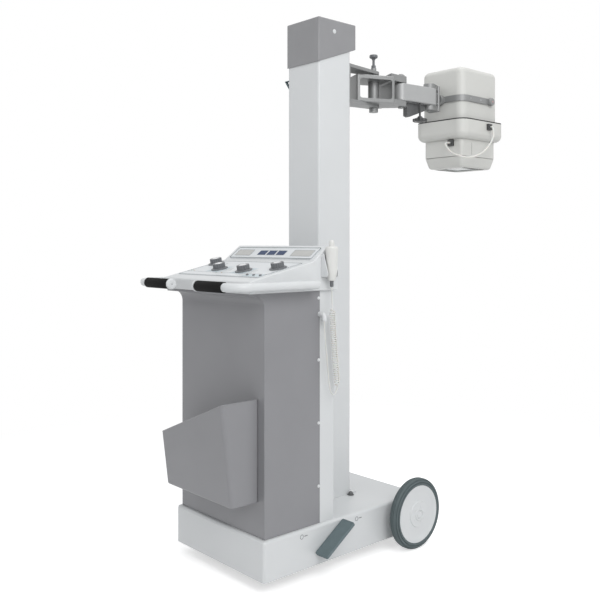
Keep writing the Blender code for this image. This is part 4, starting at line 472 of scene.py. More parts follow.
# Each finish: its colour, roughness and metallic value, the tones it drifts between with the size of their
# patches, the grain and height of its bump, the roughness it wanders between, and other shader values. Grains
# finer than about half a millimetre would not show, so they are drawn coarser than the real ones.
FINISHES = {
    # Polyester powder on folded steel: a soft orange peel of about 2 mm and a satin gleam
    "powder_coated_white": dict(code="#D5D7D8", roughness=0.38, tones=("#D2D4D5", "#D8DADB", 0.22),
        bump=(0.0022, 0.00004), wiped=(0.34, 0.44, 0.12), Coat_Weight=0.12, Coat_Roughness=0.25),
    # Injection-moulded ABS with a fine spark-eroded texture: even, softly matt, faintly cool
    "moulded_white_abs": dict(code="#D8DADB", roughness=0.46, tones=("#D5D7D8", "#DBDDDE", 0.15),
        bump=(0.0009, 0.00002), wiped=(0.42, 0.52, 0.08)),
    # Wet-sprayed satin paint on sheet steel: a mid grey with a faint cloudiness
    "satin_grey_paint": dict(code="#8B8B8D", roughness=0.42, tones=("#87878A", "#8F8F92", 0.18),
        bump=(0.0018, 0.00003), wiped=(0.38, 0.50, 0.14)),
    # Moulded ABS cap in mid grey: finer and duller than the sheet paint
    "moulded_grey_abs": dict(code="#8E8E90", roughness=0.5, tones=("#8A8A8C", "#929294", 0.10),
        bump=(0.0008, 0.00002)),
    # Textured enamel on the tube housing: a warm pale grey with a fine leathery grain
    "warm_grey_head_paint": dict(code="#D2D2CE", roughness=0.44, tones=("#CFCFCB", "#D5D5D1", 0.12),
        bump=(0.0014, 0.00005), wiped=(0.40, 0.50, 0.07), Coat_Weight=0.08, Coat_Roughness=0.3),
    # Sand-cast aluminium under a thin grey coat: grain of about 1.5 mm with a dull metallic sheen
    "cast_aluminium_grey": dict(code="#929393", roughness=0.45, metallic=0.35,
        tones=("#8C8D8D", "#989999", 0.05), bump=(0.0015, 0.00006), wiped=(0.38, 0.52, 0.05)),
    # Silver-grey on the outer link, paler and smoother than the castings: the paleness is painted light, for
    # the light on the outer link's face, which the inner link turns away from
    "link_paint_painted_light": dict(code="#ADAEAE", roughness=0.40, metallic=0.15,
        tones=("#A8A9A9", "#B2B3B3", 0.05), bump=(0.0012, 0.00003)),
    # Rough iron casting under one dull dark coat: coarse sand grain. On the keel under the outer link this
    # dark coat is painted shade, for the shade that the keel sits in.
    "dark_iron_and_keel_shade": dict(code="#636465", roughness=0.62, metallic=0.2,
        tones=("#5A5B5C", "#6C6D6E", 0.02), bump=(0.002, 0.0001)),
    # Pale disc on each knob's top: painted light, the top drawn pale as the light from above falls on it,
    # with roughness that wanders in fine patches
    "knob_top_painted_light": dict(code="#E3E4E5", roughness=0.32, metallic=0.6,
        tones=("#DDDEDF", "#E9EAEB", 0.004), wiped=(0.26, 0.40, 0.003)),
    # Brushed-on black chassis paint over iron: uneven and dull
    "black_iron_paint": dict(code="#3C3D3E", roughness=0.6, metallic=0.1,
        tones=("#353637", "#444546", 0.04), bump=(0.003, 0.0001)),
    # Bright zinc on turned steel: a cool metal with fine scratches
    "zinc_plated_steel": dict(code="#B9BBBD", roughness=0.28, metallic=1.0,
        tones=("#B1B3B5", "#C1C3C5", 0.01), wiped=(0.22, 0.38, 0.006)),
    # Extruded nitrile foam: soft black with open cells of about 1 mm
    "black_foam_rubber": dict(code="#0E0E0E", roughness=0.9, tones=("#0A0A0A", "#131313", 0.006),
        bump=(0.0011, 0.00025, "ShaderNodeTexVoronoi", 0.8, "Distance"), Specular_IOR_Level=0.25),
    # Non-marking moulded rubber: blue-green grey, dull, dusty in the hollows
    "grey_tyre_rubber": dict(code="#566163", roughness=0.68, tones=("#4F5A5C", "#5E696B", 0.03),
        bump=(0.0012, 0.00006)),
    # Grey-green moulded rubber over the pedal's plate: dull, with a fine grain that feet have smoothed
    "moulded_pedal_rubber": dict(code="#5F6E72", roughness=0.6, tones=("#586669", "#68777B", 0.02),
        bump=(0.001, 0.00005)),
    # Moulded knob plastic in mid grey with a slight gloss from handling
    "knob_grey_abs": dict(code="#6C6E71", roughness=0.36, tones=("#686A6D", "#707275", 0.01),
        bump=(0.0006, 0.00001)),
    # Moulded phenolic resin: near black, hard, with a dull polish
    "black_phenolic": dict(code="#3B3C3D", roughness=0.33, tones=("#343536", "#424344", 0.012),
        bump=(0.0009, 0.00002)),
    # Polished ABS hand switch: warm white with a soft gleam
    "cream_gloss_abs": dict(code="#DCDCD9", roughness=0.3, tones=("#DADAD7", "#DEDEDB", 0.03),
        bump=(0.0007, 0.00001)),
    # Flexible PVC sheath: milky white, slightly waxy
    "pvc_sheath": dict(code="#DEDDD8", roughness=0.45, tones=("#DAD9D4", "#E2E1DC", 0.02),
        bump=(0.0008, 0.00001), Subsurface_Weight=0.05),
    # Extruded black seal: dull with a dusty bloom
    "seal_rubber": dict(code="#2C2D2E", roughness=0.75, tones=("#262728", "#333435", 0.01),
        bump=(0.0008, 0.00003)),
    # Screen-printed polycarbonate film with a velvet face: pale cool grey, very even
    "printed_film": dict(code="#DADDDF", roughness=0.4, tones=("#D8DBDD", "#DCDFE1", 0.05),
        bump=(0.0005, 0.00001)),
    # Screen ink in a dull teal grey, a touch glossier than the film under it
    "teal_ink": dict(code="#34484C", roughness=0.35, tones=("#304347", "#394E52", 0.01)),
    # Thin wash of pale blue ink that tints the film behind each group of controls
    "pale_blue_ink": dict(code="#C3CFD4", roughness=0.38, tones=("#C0CCD1", "#C6D2D7", 0.01)),
    # Acrylic window over an unlit display: deep blue with a glossy face
    "display_glass": dict(code="#16325C", roughness=0.3, tones=("#122C54", "#1B3963", 0.012),
        Specular_IOR_Level=0.25),
    # Acrylic over an unlit meter face: pale grey with a warm cast and a glossy front
    "meter_window": dict(code="#B9B9B6", roughness=0.25, tones=("#B3B3B0", "#BFBFBC", 0.02)),
    # Acrylic exit window of the collimator: clear with a grey cast
    "clear_window_glass": dict(code="#AEB8BA", roughness=0.06, tones=("#A9B3B5", "#B3BDBF", 0.05),
        Transmission_Weight=0.6),
    # Matt black painted shade, standing for the shade inside a slot
    "painted_slot_shade": dict(code="#1B1C1D", roughness=0.8, tones=("#171819", "#202122", 0.01)),
    # Moulded pink index cap, faded by cleaning
    "pink_index": dict(code="#C79A9B", roughness=0.45, tones=("#C19394", "#CDA1A2", 0.006)),
    # Small tinted lens over an unlit lamp
    "green_lamp": dict(code="#5E8F74", roughness=0.15, tones=("#578A6E", "#66967B", 0.003),
        Coat_Weight=0.5),
    # Small tinted lens over an unlit lamp
    "amber_lamp": dict(code="#B98A4E", roughness=0.15, tones=("#B38548", "#C09155", 0.003),
        Coat_Weight=0.5),
}


def finish_made(name, code, roughness, tones, bump=None, wiped=None, metallic=0.0, **sockets):
    """A material from its line in the list of finishes."""
    made = bpy.data.materials.new(name)
    made.use_nodes = True
    tree = made.node_tree
    shader = tree.nodes["Principled BSDF"]
    shader.inputs["Base Color"].default_value = linear(code)
    shader.inputs["Roughness"].default_value = roughness
    shader.inputs["Metallic"].default_value = metallic
    for key, value in sockets.items():
        shader.inputs[key.replace("_", " ")].default_value = value
    vary(tree, shader, *tones)
    if bump:
        grain(tree, shader, *bump)
    if wiped:
        patchy_gloss(tree, shader, *wiped)
    return made


def material(name):
    """A finish by its name, made once."""
    return bpy.data.materials.get(name) or finish_made(name, **FINISHES[name])


# Finish of each CAD node that shows as it is
KEPT_NODES = {
    "cross_beam": "black_iron_paint", "rear_axle": "zinc_plated_steel", "power_unit": "black_iron_paint",
    "caster_fork_left": "zinc_plated_steel", "caster_fork_right": "zinc_plated_steel",
    "caster_wheel_left": "grey_tyre_rubber", "caster_wheel_right": "grey_tyre_rubber",
    "pulley": "zinc_plated_steel", "pulley_bracket": "black_iron_paint", "counterweight": "black_iron_paint",
    "collimator_window": "clear_window_glass", "column_bracket": "powder_coated_white",
}


# Settings


class XrayCabinetSettings(bpy.types.PropertyGroup):
    hem: bpy.props.FloatProperty(
        name="Bin hem", description="Radius of the rolled rim of the cassette bin",
        default=0.0022, min=0.001, max=0.004, unit="LENGTH")
    screw: bpy.props.FloatProperty(
        name="Screw head", description="Radius of the cover screws", default=0.0048, min=0.003, max=0.007,
        unit="LENGTH")


class XrayHandleSettings(bpy.types.PropertyGroup):
    tube: bpy.props.FloatProperty(
        name="Tube", description="Radius of the handle tube", default=0.014, min=0.012, max=0.014,
        unit="LENGTH")
    grip: bpy.props.FloatProperty(
        name="Grip", description="Radius of the foam grip", default=0.017, min=0.015, max=0.017,
        unit="LENGTH")


class XrayCordSettings(bpy.types.PropertyGroup):
    wire: bpy.props.FloatProperty(
        name="Cord", description="Diameter of the curly cord's sheath", default=0.0036, min=0.0028, max=0.004,
        unit="LENGTH")
    pitch: bpy.props.FloatProperty(
        name="Pitch", description="Rise of one turn of the curly cord", default=0.0072, min=0.0042, max=0.009,
        unit="LENGTH")
    coil: bpy.props.FloatProperty(
        name="Coil", description="Outer radius of the curly cord's turns", default=0.0106, min=0.006,
        max=0.012, unit="LENGTH")


class XrayStageSettings(bpy.types.PropertyGroup):
    key: bpy.props.FloatProperty(
        name="Key light", description="Power of the large lamp on the right", default=84.0, min=0.0,
        max=900.0)
    fill: bpy.props.FloatProperty(
        name="Sky", description="Strength of the even light all round", default=0.56, min=0.0, max=2.0)
    floor: bpy.props.FloatVectorProperty(
        name="Floor", description="Colour of the floor", subtype="COLOR", size=3, default=(0.86, 0.86, 0.86))


def settings(name):
    """A group of the user's settings."""
    return getattr(bpy.context.scene, name)


# Stage and camera

# The camera: its lens in millimetres, its shift, its place and its turn
LENS = 47.26
LENS_SHIFT = -56 / 600
CAMERA_PLACE = (2.1318, -1.5448 - ROW_SHIFT, 1.0941)
CAMERA_TURN = math.radians(48.09)


class XRAY_OT_stage(bpy.types.Operator):
    """Camera, lamps, floor and sky"""

    bl_idname = "xray.stage"
    bl_label = "Stage"

    def execute(self, context):
        scene = context.scene
        lens = bpy.data.cameras.new("camera")
        lens.lens = LENS
        lens.sensor_width = 36
        lens.shift_y = LENS_SHIFT
        lens.clip_start = 0.05
        camera = bpy.data.objects.new("camera", lens)
        scene.collection.objects.link(camera)
        camera.location = CAMERA_PLACE
        camera.rotation_euler = (math.radians(90), 0, CAMERA_TURN)
        scene.camera = camera
        self.lamp("key", (3.4, -1.6, 3.2), 2.6, settings("xray_stage").key)
        self.lamp("front_fill", (-1.8, -3.4, 2.2), 2.4, settings("xray_stage").key * 0.15)
        self.lamp("top", (0.4, 0.6, 4.2), 2.2, settings("xray_stage").key * 0.26)
        self.sky(scene)
        self.floor()
        scene.view_settings.view_transform = "Standard"
        return {"FINISHED"}

    def lamp(self, name, place, size, power):
        light = bpy.data.lights.new(name, "AREA")
        light.shape = "DISK"
        light.size = size
        light.energy = power
        made = bpy.data.objects.new(name, light)
        bpy.context.scene.collection.objects.link(made)
        made.location = place
        aim = Vector((0, 0, 1.0)) - Vector(place)
        made.rotation_euler = aim.to_track_quat("-Z", "Y").to_euler()

    def sky(self, scene):
        world = bpy.data.worlds.new("studio")
        scene.world = world
        world.use_nodes = True
        tree = world.node_tree
        tree.nodes.clear()
        white = add_node(tree, "ShaderNodeBackground", None, {"Color": (1, 1, 1, 1), "Strength": 1.0})
        soft = add_node(tree, "ShaderNodeBackground", None,
                        {"Color": (0.97, 0.985, 1, 1), "Strength": settings("xray_stage").fill})
        mix = add_node(tree, "ShaderNodeMixShader", None,
                       {0: self.seen(tree), 1: soft.outputs[0], 2: white.outputs[0]})
        add_node(tree, "ShaderNodeOutputWorld", None, {"Surface": mix.outputs[0]})

    def seen(self, tree):
        """1 where the camera sees the backdrop, straight, in a reflection or through glass."""
        path = add_node(tree, "ShaderNodeLightPath")
        most = path.outputs["Is Camera Ray"]
        for kind in ("Is Glossy Ray", "Is Transmission Ray"):
            larger = add_node(tree, "ShaderNodeMath", {"operation": "MAXIMUM"},
                              {0: most, 1: path.outputs[kind]})
            most = larger.outputs[0]
        return most

    def floor(self):
        """Paper that keeps a soft shadow near the machine and runs out into plain white."""
        activate()
        bpy.ops.mesh.primitive_plane_add(size=60, location=(0, 0, -0.0002))
        floor = bpy.context.object
        floor.name = "floor"
        made = bpy.data.materials.new("seamless_paper")
        made.use_nodes = True
        tree = made.node_tree
        tree.nodes.clear()
        paper = add_node(tree, "ShaderNodeBsdfDiffuse", None, {"Color": (*settings("xray_stage").floor, 1)})
        lift = add_node(tree, "ShaderNodeEmission", None, {"Color": (1, 1, 1, 1), "Strength": 0.55})
        near = add_node(tree, "ShaderNodeAddShader", None, {0: paper.outputs[0], 1: lift.outputs[0]})
        white = add_node(tree, "ShaderNodeEmission", None, {"Color": (1, 1, 1, 1), "Strength": 1.0})
        place = add_node(tree, "ShaderNodeTexCoord")
        reach = add_node(tree, "ShaderNodeVectorMath", {"operation": "LENGTH"}, {0: place.outputs["Object"]})
        fade = add_node(tree, "ShaderNodeMapRange", {"interpolation_type": "SMOOTHSTEP"},
                        {"Value": reach.outputs["Value"], "From Min": 0.9, "From Max": 2.4})
        shown = add_node(tree, "ShaderNodeMixShader", None,
                         {0: fade.outputs["Result"], 1: near.outputs[0], 2: white.outputs[0]})
        mix = add_node(tree, "ShaderNodeMixShader", None,
                       {0: self.seen(tree), 1: paper.outputs[0], 2: shown.outputs[0]})
        add_node(tree, "ShaderNodeOutputMaterial", None, {"Surface": mix.outputs[0]})
        floor.data.materials.append(made)


# Cords

CURLY_ROUTE = (
    (0.2680, 0.2690, 0.9527), (0.2681, 0.2694, 0.9300), (0.2684, 0.2720, 0.8600), (0.2684, 0.2780, 0.7800),
    (0.2684, 0.2860, 0.7000), (0.2680, 0.2920, 0.6450), (0.2672, 0.2925, 0.6150), (0.2655, 0.2860, 0.5980),
    (0.2630, 0.2770, 0.5970), (0.2606, 0.2690, 0.6130), (0.2590, 0.2630, 0.6500), (0.2575, 0.2570, 0.7200),
    (0.2552, 0.2515, 0.7800), (0.2540, 0.2488, 0.8150), (0.2538, 0.2485, 0.8397),
)
HEAD_ROUTE = (
    (0.1963, 1.275, 1.588), (0.2023, 1.275, 1.588), (0.211, 1.272, 1.570), (0.216, 1.260, 1.538),
    (0.215, 1.230, 1.500), (0.210, 1.190, 1.470), (0.203, 1.140, 1.452), (0.193, 1.102, 1.448),
    (0.177, 1.085, 1.454), (0.141, 1.079, 1.469), (0.119, 1.079, 1.491), (0.107, 1.081, 1.509),
    (0.100, 1.1112, 1.517), (0.100, 1.1192, 1.517),
)
HEAD_LEAD_DIAMETER = 0.008

# The curly cord's straight start, the run over which its turns open and close, and its plain lower end
PLAIN_START = 0.054
PLAIN_END = 0.014
OPENING_RUN = 0.036
POINTS_PER_TURN = 14


def in_row(point):
    """A point of the machine's own frame, in the row's frame."""
    return Vector(point) - Vector((0, ROW_SHIFT, 0))


class XRAY_OT_cords(bpy.types.Operator):
    """The hand switch's curly cord and the head's short cord"""

    bl_idname = "xray.cords"
    bl_label = "Cords"

    def execute(self, context):
        self.curly()
        self.head_lead()
        return {"FINISHED"}

    def cord(self, name, points, diameter, sides):
        piece = piped(name, points, diameter / 2, sides)
        piece.data.materials.append(material("pvc_sheath"))
        return piece

    def curly(self):
        """The coiled leg that hangs from the hand switch, and the lead that runs back up to the gland."""
        wire = settings("xray_cord").wire
        route = smooth_route([in_row(p) for p in CURLY_ROUTE], 0.003)
        turn = next(i for i, p in enumerate(route) if i > 20 and p.z > route[i - 1].z)
        coil = self.coils(route[:turn], wire, settings("xray_cord").pitch)
        legs = (("curly_cord", coil, 0, "hand_switch"), ("cord_lead", route[turn - 1:], -1, None))
        for name, leg, exit_end, follows in legs:
            piece = self.cord(name, leg, wire, 2)
            activate(piece)
            bpy.ops.object.convert(target="MESH")
            piece = smooth(bpy.context.object, 60)
            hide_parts("handset_cord")
            if follows:
                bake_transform(piece)
            else:
                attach(piece, "chassis")

    def coils(self, spine, wire, pitch):
        """Points of a helix along a route, with a short straight lead at each end."""
        total = length_of(spine)
        reach = settings("xray_cord").coil - wire / 2
        points = []
        side = Vector((1, 0, 0))
        turn = 0.0
        passed = 0.0
        position = 0.0
        for start, end in zip(spine, spine[1:]):
            along = (end - start).normalized()
            side = (side - along * side.dot(along)).normalized()
            other = along.cross(side)
            while position < passed + (end - start).length:
                inside = min(position - PLAIN_START, total - PLAIN_END - position)
                opening = min(max(inside / OPENING_RUN, 0), 1)
                opening *= opening * (3 - 2 * opening)
                here = start + along * (position - passed)
                points.append(here + (side * math.cos(turn) + other * math.sin(turn)) * reach * opening)
                position += pitch / POINTS_PER_TURN + (0.0010 if opening < 0.02 else 0)
                turn += math.tau / POINTS_PER_TURN * opening ** 2
            passed += (end - start).length
        points[-1] = spine[-1]
        return points

    def head_lead(self):
        points = smooth_route([in_row(p) for p in HEAD_ROUTE], 0.008)
        piece = self.cord("head_lead", points, HEAD_LEAD_DIAMETER, 6)
        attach(piece, "tube_head")
        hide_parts("head_cord")


# Chassis

FACING = {
    "X": Matrix.Rotation(math.radians(90), 4, "Y"), "-X": Matrix.Rotation(math.radians(-90), 4, "Y"),
    "Y": Matrix.Rotation(math.radians(-90), 4, "X"), "-Y": Matrix.Rotation(math.radians(90), 4, "X"),
    "Z": Matrix.Identity(4),
}


def screw_head(name, place, axis, radius, height=0.0018, sides=24):
    """A pan head with a cross recess, standing on a face along an axis."""
    profile = [(0, height), (radius * 0.55, height * 0.97), (radius * 0.85, height * 0.7),
               (radius, height * 0.2), (radius, -0.0004), (0, -0.0004)]
    head = spun(name, profile, (0, 0, 0), "Z", sides)
    long, thin = radius * 0.55, radius * 0.1
    slot_a = cube("cross", (-long, -thin, height * 0.45), (long, thin, height * 2))
    slot_b = cube("cross", (-thin, -long, height * 0.45), (thin, long, height * 2))
    carve(head, slot_a, slot_b)
    head.data.transform(Matrix.Translation(Vector(place)) @ FACING[axis])
    return flats(head, 30)


class XRAY_OT_base(bpy.types.Operator):
    """Base shell, brake pedal and their small parts"""

    bl_idname = "xray.base"
    bl_label = "Base"

    def execute(self, context):
        refined("base_shell", "powder_coated_white", "white_paint")
        self.pedal()
        self.marks()
        for node, finish in KEPT_NODES.items():
            mesh = frame["nodes"][node].data
            mesh.materials.clear()
            mesh.materials.append(material(finish))
        return {"FINISHED"}

    def pedal(self):
        """Rocker plate with a shallow field inside its rim, its hub underneath and the shaft behind."""
        plate = slab("plate", round_rect(0.002, -0.0765, 0.058, 0.0765, 0.006), 0.001, 0.010)
        round_some(plate, 0.0018, 3, lambda edge: all(vert.co.z > 0.0099 for vert in edge.verts))
        field = slab("field", round_rect(0.0060, -0.0725, 0.0540, 0.0725, 0.003), 0.0094, 0.012)
        carve(plate, field)
        hub = cylinder("hub", (0.002, 0, 0), 0.045, 0.0088, "X", 36)
        shaft = cylinder("shaft", (-0.060, 0, 0), 0.066, 0.006, "X", 24)
        piece = merged("pedal_plate", flats(plate, 30), hub, shaft)
        turned(piece, PEDAL_TILT, "X")
        moved(piece, BASE_SIDE, PEDAL_Y, PEDAL_Z)
        finished(piece, "pedal", "pedal_green", "moulded_pedal_rubber", "brake_pedal")

    def marks(self):
        """A plain embossed ring and bar at each end of the pedal's travel."""
        pieces = []
        for y in (0.158, 0.412):
            ring = spun("ring", [(0.0075, 0.0004), (0.0075, -0.0002), (0.006, -0.0002), (0.006, 0.0004)],
                        (BASE_SIDE, y, 0.148), "X", 40, True)
            bar = cube("bar", (BASE_SIDE - 0.0002, y + 0.011, 0.1468),
                       (BASE_SIDE + 0.0004, y + 0.025, 0.1492))
            pieces += [ring, bar]
        finished(merged("brake_marks", *pieces), "chassis", "knob_grey", "knob_grey_abs")


class XRAY_OT_wheels(bpy.types.Operator):
    """Rear tyres and disc hubs"""

    bl_idname = "xray.wheels"
    bl_label = "Wheels"

    def execute(self, context):
        for side, word in ((1, "right"), (-1, "left")):
            place = (side * WHEEL_X, WHEEL_Y, WHEEL_Z)
            self.tyre(word, place)
            self.hub(side, word, place)
        return {"FINISHED"}

    def tyre(self, word, place):
        """Square-shouldered tyre with two rings in its wall and a groove either side of its middle."""
        half = WHEEL_HALF
        outer = [(0.1015, half - 0.002), (0.1035, half - 0.0006), (0.1070, half), (0.1092, half - 0.0006),
                 (0.1100, half - 0.0044), (0.1112, half - 0.0048), (0.1122, half - 0.0014),
                 (0.1150, half - 0.0016), (0.1178, half - 0.0030), (0.1186, half - 0.0074),
                 (0.1198, half - 0.0080), (0.1208, half - 0.0056), (0.1230, half - 0.0078),
                 (0.1245, half - 0.0115), (0.1250, 0.0052), (0.1236, 0.0046),
                 (0.1236, 0.0030), (0.1250, 0.0024), (0.1250, 0.0004)]
        profile = outer + [(r, -h) for r, h in reversed(outer)] + [(0.0973, -0.0127), (0.0973, 0.0127)]
        piece = spun("tyre_" + word + "_rubber", profile, place, "X", 96, True)
        finished(flats(piece, 28), "wheel_" + word, "tyre_rubber", "grey_tyre_rubber", "tyre_" + word)

    def hub(self, side, word, place):
        """Moulded disc with a raised rim, a round boss and five screws."""
        half = WHEEL_HALF
        face = [(0, half + 0.0036), (0.0100, half + 0.0034), (0.0118, half + 0.0008), (0.0150, half + 0.0006),
                (0.0168, half + 0.0038), (0.0210, half + 0.0038), (0.0228, half + 0.0004),
                (0.0360, half - 0.0002), (0.0440, half - 0.0006), (0.0462, half - 0.0040),
                (0.0510, half - 0.0052), (0.0780, half - 0.0052), (0.0880, half - 0.0040),
                (0.0930, half - 0.0022), (0.0985, half - 0.0016), (0.1010, half - 0.0022),
                (0.0970, half - 0.006)]
        back = [(0.097, -half + 0.006), (0.101, -half + 0.002), (0.090, -half + 0.003), (0.086, 0),
                (0.028, 0), (0.019, -half), (0.019, -0.049), (0.0103, -0.049), (0.0103, half - 0.003),
                (0, half - 0.003)]
        piece = spun("hub", face + back, (0, 0, 0), "X", 96)
        screws = []
        for i in range(5):
            angle = math.tau * i / 5
            spot = (half - 0.0003, 0.028 * math.cos(angle), 0.028 * math.sin(angle))
            screws.append(screw_head("hub_screw", spot, "X", 0.0032, 0.0014, 16))
        piece = merged("wheel_hub_" + word + "_disc", flats(piece, 28), *screws)
        turn = Matrix.Rotation(0 if side > 0 else math.pi, 4, "Z")
        piece.data.transform(Matrix.Translation(place) @ turn)
        finished(piece, "wheel_" + word, "white_paint", "powder_coated_white", "wheel_hub_" + word)


class XRAY_OT_cabinet(bpy.types.Operator):
    """Cabinet covers, cassette bin and their fastenings"""

    bl_idname = "xray.cabinet"
    bl_label = "Cabinet"

    def execute(self, context):
        refined("front_cover", "satin_grey_paint", "grey_paint")
        refined("rear_cover", "powder_coated_white", "white_paint")
        refined("cassette_bin", "satin_grey_paint", "grey_paint")
        self.seam_caps()
        self.bin_hem()
        return {"FINISHED"}

    def seam_caps(self):
        """White screw caps where the front cover laps the rear one."""
        radius = settings("xray_cabinet").screw
        profile = [(0, 0.0042), (radius * 0.6, 0.0040), (radius * 0.9, 0.0030), (radius, 0.0016),
                   (radius * 1.15, 0.0010), (radius * 1.15, 0.0001), (0, 0.0001)]
        caps = []
        for side in (-1, 1):
            for z in (0.915, 0.710, 0.501, 0.292):
                cap = spun("cap", profile, (0, 0, 0), "X", 32)
                turned(cap, 0 if side > 0 else math.pi, "Z")
                caps.append(moved(cap, side * CABINET_SIDE, 0.2445, z))
        finished(merged("cover_caps", *caps), "chassis", "console_white", "moulded_white_abs")

    def bin_hem(self):
        """Rolled rim along the bin's open top, and the rivets that fix it."""
        hem = settings("xray_cabinet").hem
        left, right, corner = BIN_LEFT, BIN_RIGHT, BIN_CORNER
        back = 0.0100
        rise = (BIN_HIGH_RIM - BIN_LOW_RIM) / 0.370

        def rim(x, y):
            return Vector((x, y, BIN_LOW_RIM + (x + 0.171) * rise))

        def front(z):
            return -0.0878 - (z - 0.279) * 0.125

        def bend(x, y, turns):
            angles = [math.radians(turn) for turn in turns]
            return [rim(x + corner * math.cos(angle), y - corner * math.sin(angle)) for angle in angles]

        route = [rim(left, back), rim(left, front(BIN_LOW_RIM) + corner)]
        route += bend(left + corner, front(BIN_LOW_RIM) + corner, (150, 120))
        route += [rim(left + corner, front(0.460)), rim(right - corner, front(0.600))]
        route += bend(right - corner, front(BIN_HIGH_RIM) + corner, (60, 30))
        route += [rim(right, front(BIN_HIGH_RIM) + corner), rim(right, back)]
        piece = swept("bin_rim", route, hem, 5)
        finished(piece, "chassis", "grey_paint", "satin_grey_paint")
        rivets = []
        for x in (-0.140, 0.014, 0.168):
            for z in (0.320, 0.420):
                rivets.append(screw_head("bin_rivet", (x, 0.0094, z), "-Y", 0.004, 0.0012, 20))
        finished(merged("bin_rivets", *rivets), "chassis", "steel", "zinc_plated_steel")


# Console


def slope(start, end):
    """The place of a console slope: what is drawn flat, with Y up the slope, is laid on it."""
    pitch = math.atan2(end.z - start.z, end.y - start.y)
    return Matrix.Translation(start) @ Matrix.Rotation(pitch, 4, "X")


CONTROL_SLOPE = slope(SLOPE_FRONT, SLOPE_BEND)
DISPLAY_SLOPE = slope(SLOPE_BEND, SLOPE_CREST)

# Height of the printed films over the slopes, and how far the ink reaches above them
FILM = 0.0018
INK_LOW = FILM + 0.00002
INK_HIGH = FILM + 0.00022
WASH_LOW = FILM + 0.00001
WASH_HIGH = FILM + 0.00006
PANE_HIGH = FILM + 0.0006


def frame_line(name, x0, y0, x1, y1, radius, width):
    """A printed outline with rounded corners."""
    piece = slab(name, round_rect(x0, y0, x1, y1, radius), INK_LOW, INK_HIGH)
    inner = round_rect(x0 + width, y0 + width, x1 - width, y1 - width, max(radius - width, 0.0005))
    return carve(piece, slab("inside", inner, INK_LOW - 0.001, INK_HIGH + 0.001))


